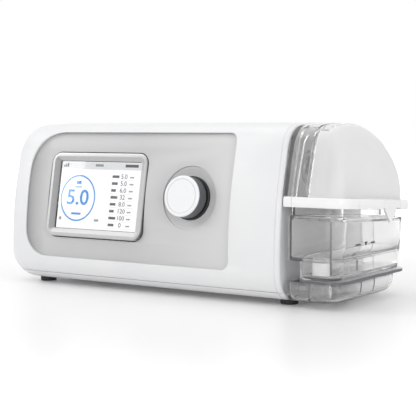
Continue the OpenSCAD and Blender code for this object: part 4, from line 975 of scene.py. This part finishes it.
def make_rim():
    loops = [rim_loop(inset, up) for inset, up in (
        (0.8, 0), (0.24, 0.24), (0, 0.8), (0, 3), (0, RIM_H - 1.0), (0.3, RIM_H - 0.3),
        (1.0, RIM_H),
    )]
    loops += [neck_loop(inset, up) for inset, up in (
        (CLEAR_T + 1, RIM_H), (CLEAR_T + 1, RIM_H - CLEAR_T),
        (-NECK_GAP, RIM_H - CLEAR_T), (-NECK_GAP, 0),
    )]
    rim = loft("lid_rim_skin", loops, closed_path=True)
    ears = []
    for x in (EAR_X0, EAR_X1):
        ears.append(rim_block("ear", (x, RIM_D - 1, PIN_Z - 2.6), (x + EAR_W, PIN_Y, PIN_Z + 2.6)))
        ears.append(ear_eye(x, 2.58))
    cut(rim, ears, "UNION")
    # The latch's place in the end, then two moulding lines
    cut(rim, [
        rim_block("cutter", (END_X - 2.6, 58.7, -1), (END_X + 4, 85.3, RIM_H + 9)),
        rim_block("cutter", (END_X - 0.45, 22.4, -1), (END_X + 1, 22.85, RIM_H + 1)),
        rim_block("cutter", (RIM_X0 + 6.1, -1, -1), (RIM_X0 + 6.7, 0.6, RIM_H + 1)),
    ])
    settle(rim, 40)
    finish_piece(rim, "lid", MILKY, ["lid_rim"])


def tray_loop(inset, up, curl=0.0):
    """A level line of the tray, further in by its curl, and by half of that at the end."""
    outline = box_outline(CHAM_X0 + inset, TRAY_Y0 + inset + curl, TRAY_X1 - inset - curl * 0.5,
                          TRAY_Y0 + TRAY_D - inset - curl, 0, 2.5, 11 - inset)
    return [(x, y, up) for x, y in outline]


def tray_curve(inset, degrees):
    """The level lines of the tray's round lower edge."""
    floor, radius = LOW_Z + inset, TRAY_R - inset
    return [tray_loop(inset, floor + radius * (1 - math.cos(math.pi / 2 - a)),
                      radius * (1 - math.cos(a)))
            for a in np.radians(np.linspace(*degrees, 9))]


def make_tray():
    outer = tray_curve(0, (90, 0)) + [tray_loop(0, TRAY_TOP - 0.4), tray_loop(0.3, TRAY_TOP)]
    inner = [tray_loop(CLEAR_T - 0.3, TRAY_TOP), tray_loop(CLEAR_T, TRAY_TOP - 0.4)]
    inner += tray_curve(CLEAR_T, (0, 90))
    tray = loft("chamber_tray_skin", outer + inner)
    boss = lathe("boss", [
        (6.2, LOW_Z + 3.4), (8, LOW_Z + 1.6), (8, TRAY_TOP - 0.3), (7.7, TRAY_TOP),
        (6.3, TRAY_TOP), (6.0, TRAY_TOP - 0.3), (6.0, LOW_Z + 3.4),
    ], 64)
    boss.data.transform(Matrix.Translation(Vector((CHAM_X0 + 20, TRAY_Y0 + 11.5, 0)) * MM))
    ribs = []
    for share in (0.42, 0.62):
        y = TRAY_Y0 + TRAY_D * share
        ribs.append(block("rib", (CHAM_X0 + 1.8, y, LOW_Z + 3), (TRAY_X1 - 1.8, y + 1.6, TRAY_TOP)))
    cut(tray, [boss] + ribs, "UNION")
    # Slots for the two tongues of the housing's end wall
    cut(tray, [
        block("cutter", (CHAM_X0 - 1, y - 6.4, LOW_Z + 5.6), (CHAM_X0 + 9, y + 6.4, LOW_Z + 9.4))
        for y in (TRAY_Y0 + 22, TRAY_Y0 + TRAY_D - 22)
    ])
    settle(tray, 40)
    finish_piece(tray, "chamber", CLEAR, ["chamber_tray"])


def dome_section(inset):
    """The dome's section in Y and Z: bowed front, flat top and a fuller curve down the rear."""
    base, spring, steps = RIM_Z0 - 30, RIM_Z0 + 4, 12
    corner = steps + 1
    # Only the two corners in the middle count, the bow and the top's front edge
    front = rounded([
        (PEAK_Y, base), (DOME_Y0, base), (DOME_Y0, RIM_Z0 + RIM_H),
        (DOME_Y0 + BOW_Y3 - 1.6, DOME_TOP - 2), (PEAK_Y, DOME_TOP),
    ], [0.05, 0.05, 60, FRONT_TOP_R, 0.05], steps)[2 * corner:-corner]
    rear = [(PEAK_Y + (DOME_Y1 - PEAK_Y) * math.sin(a) ** DOME_FULL,
             spring + (DOME_TOP - spring) * abs(math.cos(a)) ** DOME_FULL)
            for a in np.radians(np.linspace(0, 90, 31))]
    points = np.vstack([[(DOME_Y0, base)], front, rear, [(DOME_Y1, base)]])
    along = np.gradient(points, axis=0)
    along /= np.linalg.norm(along, axis=1)[:, None]
    inward = np.column_stack([along[:, 1], -along[:, 0]])
    inward[0], inward[-1] = (1, 0), (-1, 0)
    return points + inward * (np.abs(inward[:, :1]) * inset + np.abs(inward[:, 1:]) * inset)


def crown_at(z):
    """How far the crowned end stands in at a height: an arc up to the shoulder, then straight."""
    rise = DOME_SHOULDER - DOME_BELLY
    bow = min(max(z - DOME_BELLY, 0), rise) ** 2 / (2 * DOME_CROWN_R)
    return bow + max(z - DOME_SHOULDER, 0) * rise / DOME_CROWN_R


def dome_solid(name, inset, x0):
    """A closed solid of the dome's form, moved in by an inset, with a crowned and rounded end."""
    # (x, depth under the form), with a groove and a bead at the fold
    stations = [(x0, 0.5), (x0 + 0.5, 0.0), (x0 + 1.5, 0.0)]
    stations += [(FOLD_X + x, depth) for x, depth in (
        (-2.0, 0.0), (-1.4, 0.45), (-0.9, 0.55), (-0.4, 0.1), (0.2, -0.15), (1.0, 0.0),
    )]
    radius = DOME_R - inset
    for angle in np.linspace(0.12, math.pi / 2, 16):
        x = DOME_X1 - inset - radius + radius * math.sin(angle)
        stations.append((x, radius * (1 - math.cos(angle))))
    hood = FOLD_X + 1
    whole = DOME_X1 - hood
    loops = []
    for x, depth in stations:
        loop = []
        for y, z in dome_section(inset + depth):
            bent = x if x < hood else hood + (x - hood) * (whole - crown_at(z)) / whole
            loop.append((bent, y, z))
        loops.append(loop)
    return loft(name, loops)


def make_dome():
    dome = dome_solid("lid_dome_skin", 0.0, CHAM_X0)
    inner = dome_solid("cutter", CLEAR_T, CHAM_X0 + CLEAR_T)
    # The dome ends just over the rim's sloping top
    below = rim_block("cutter", (-300, -60, RIM_H - 90), (300, RIM_D + 60, RIM_H + 0.06))
    ports = []
    for share in (0.35, 0.617):
        ring = oval(FRONT_Y + BODY_D * share, PORT_Z, PORT_R, PORT_R, 48)
        ports.append(prism("cutter", ring, "YZ", CHAM_X0 - 2, CHAM_X0 + CLEAR_T + 1))
    cut(dome, [inner, below] + ports)
    settle(dome, 28)
    finish_piece(dome, "lid", CLEAR, ["lid_dome"])
    dome.data.materials.append(FROSTED_END)
    for face in dome.data.polygons:
        rounded_edge = face.normal.y > 0.5 or face.normal.z > 0.8
        face.material_index = int(face.center.x > (FOLD_X + 1) * MM and not rounded_edge)


def make_level_mark():
    """A moulded and inked level mark on the tank's end: two dashes and a plain triangle."""
    z = TANK_Z0 + 21.5
    face = TANK_X1 - (RIM_Z0 - GROOVE_H - z) * math.tan(TANK_DRAFT)
    x0, x1 = face - 0.02, face + 0.08
    marks = [block("mark", (x0, y0, z - 0.55), (x1, y1, z + 0.55))
             for y0, y1 in ((-33.0, -25.5), (-10.5, -4.5))]
    triangle = [(-20.5, z + 1.3), (-15.5, z + 1.3), (-18.0, z - 1.5)]
    marks.append(prism("mark", triangle, "YZ", x0, x1))
    finish_piece(join("level_mark", marks), "chamber", INK)


# CAD nodes that stay as they are take the material of their slot
SLOT_LOOKS = {
    "white_shell": WHITE, "panel_grey": GREY_PANEL, "bezel_grey": BEZEL_GREY,
    "display_glass": WINDOW, "display_black": BLACK_NYLON, "board_green": BOARD,
    "knob_white": GLOSS_WHITE, "dark_grey": KNOB_METAL, "black_plastic": BLACK_NYLON,
    "steel": STEEL, "brass_contact": BRASS, "duct_grey": DUCT_GREY, "foam": FOAM,
    "filter_fibre": FELT, "rubber": RUBBER, "clear_plastic": CLEAR, "frosted_plastic": MILKY,
    "silicone": SILICONE, "heater_metal": HEATER,
}


def dress_cad_nodes():
    for part in frame["record"]["subparts"]:
        node = frame["nodes"][part["node"]]
        node.data.materials.clear()
        wall = part["node"] == "right_end_wall"
        node.data.materials.append(END_WALL if wall else SLOT_LOOKS[part["material_slot"]])


make_housing()
make_panel()
make_bezel()
make_display()
make_knob()
make_feet()
make_tank()
make_rim()
make_tray()
make_dome()
make_level_mark()
dress_cad_nodes()
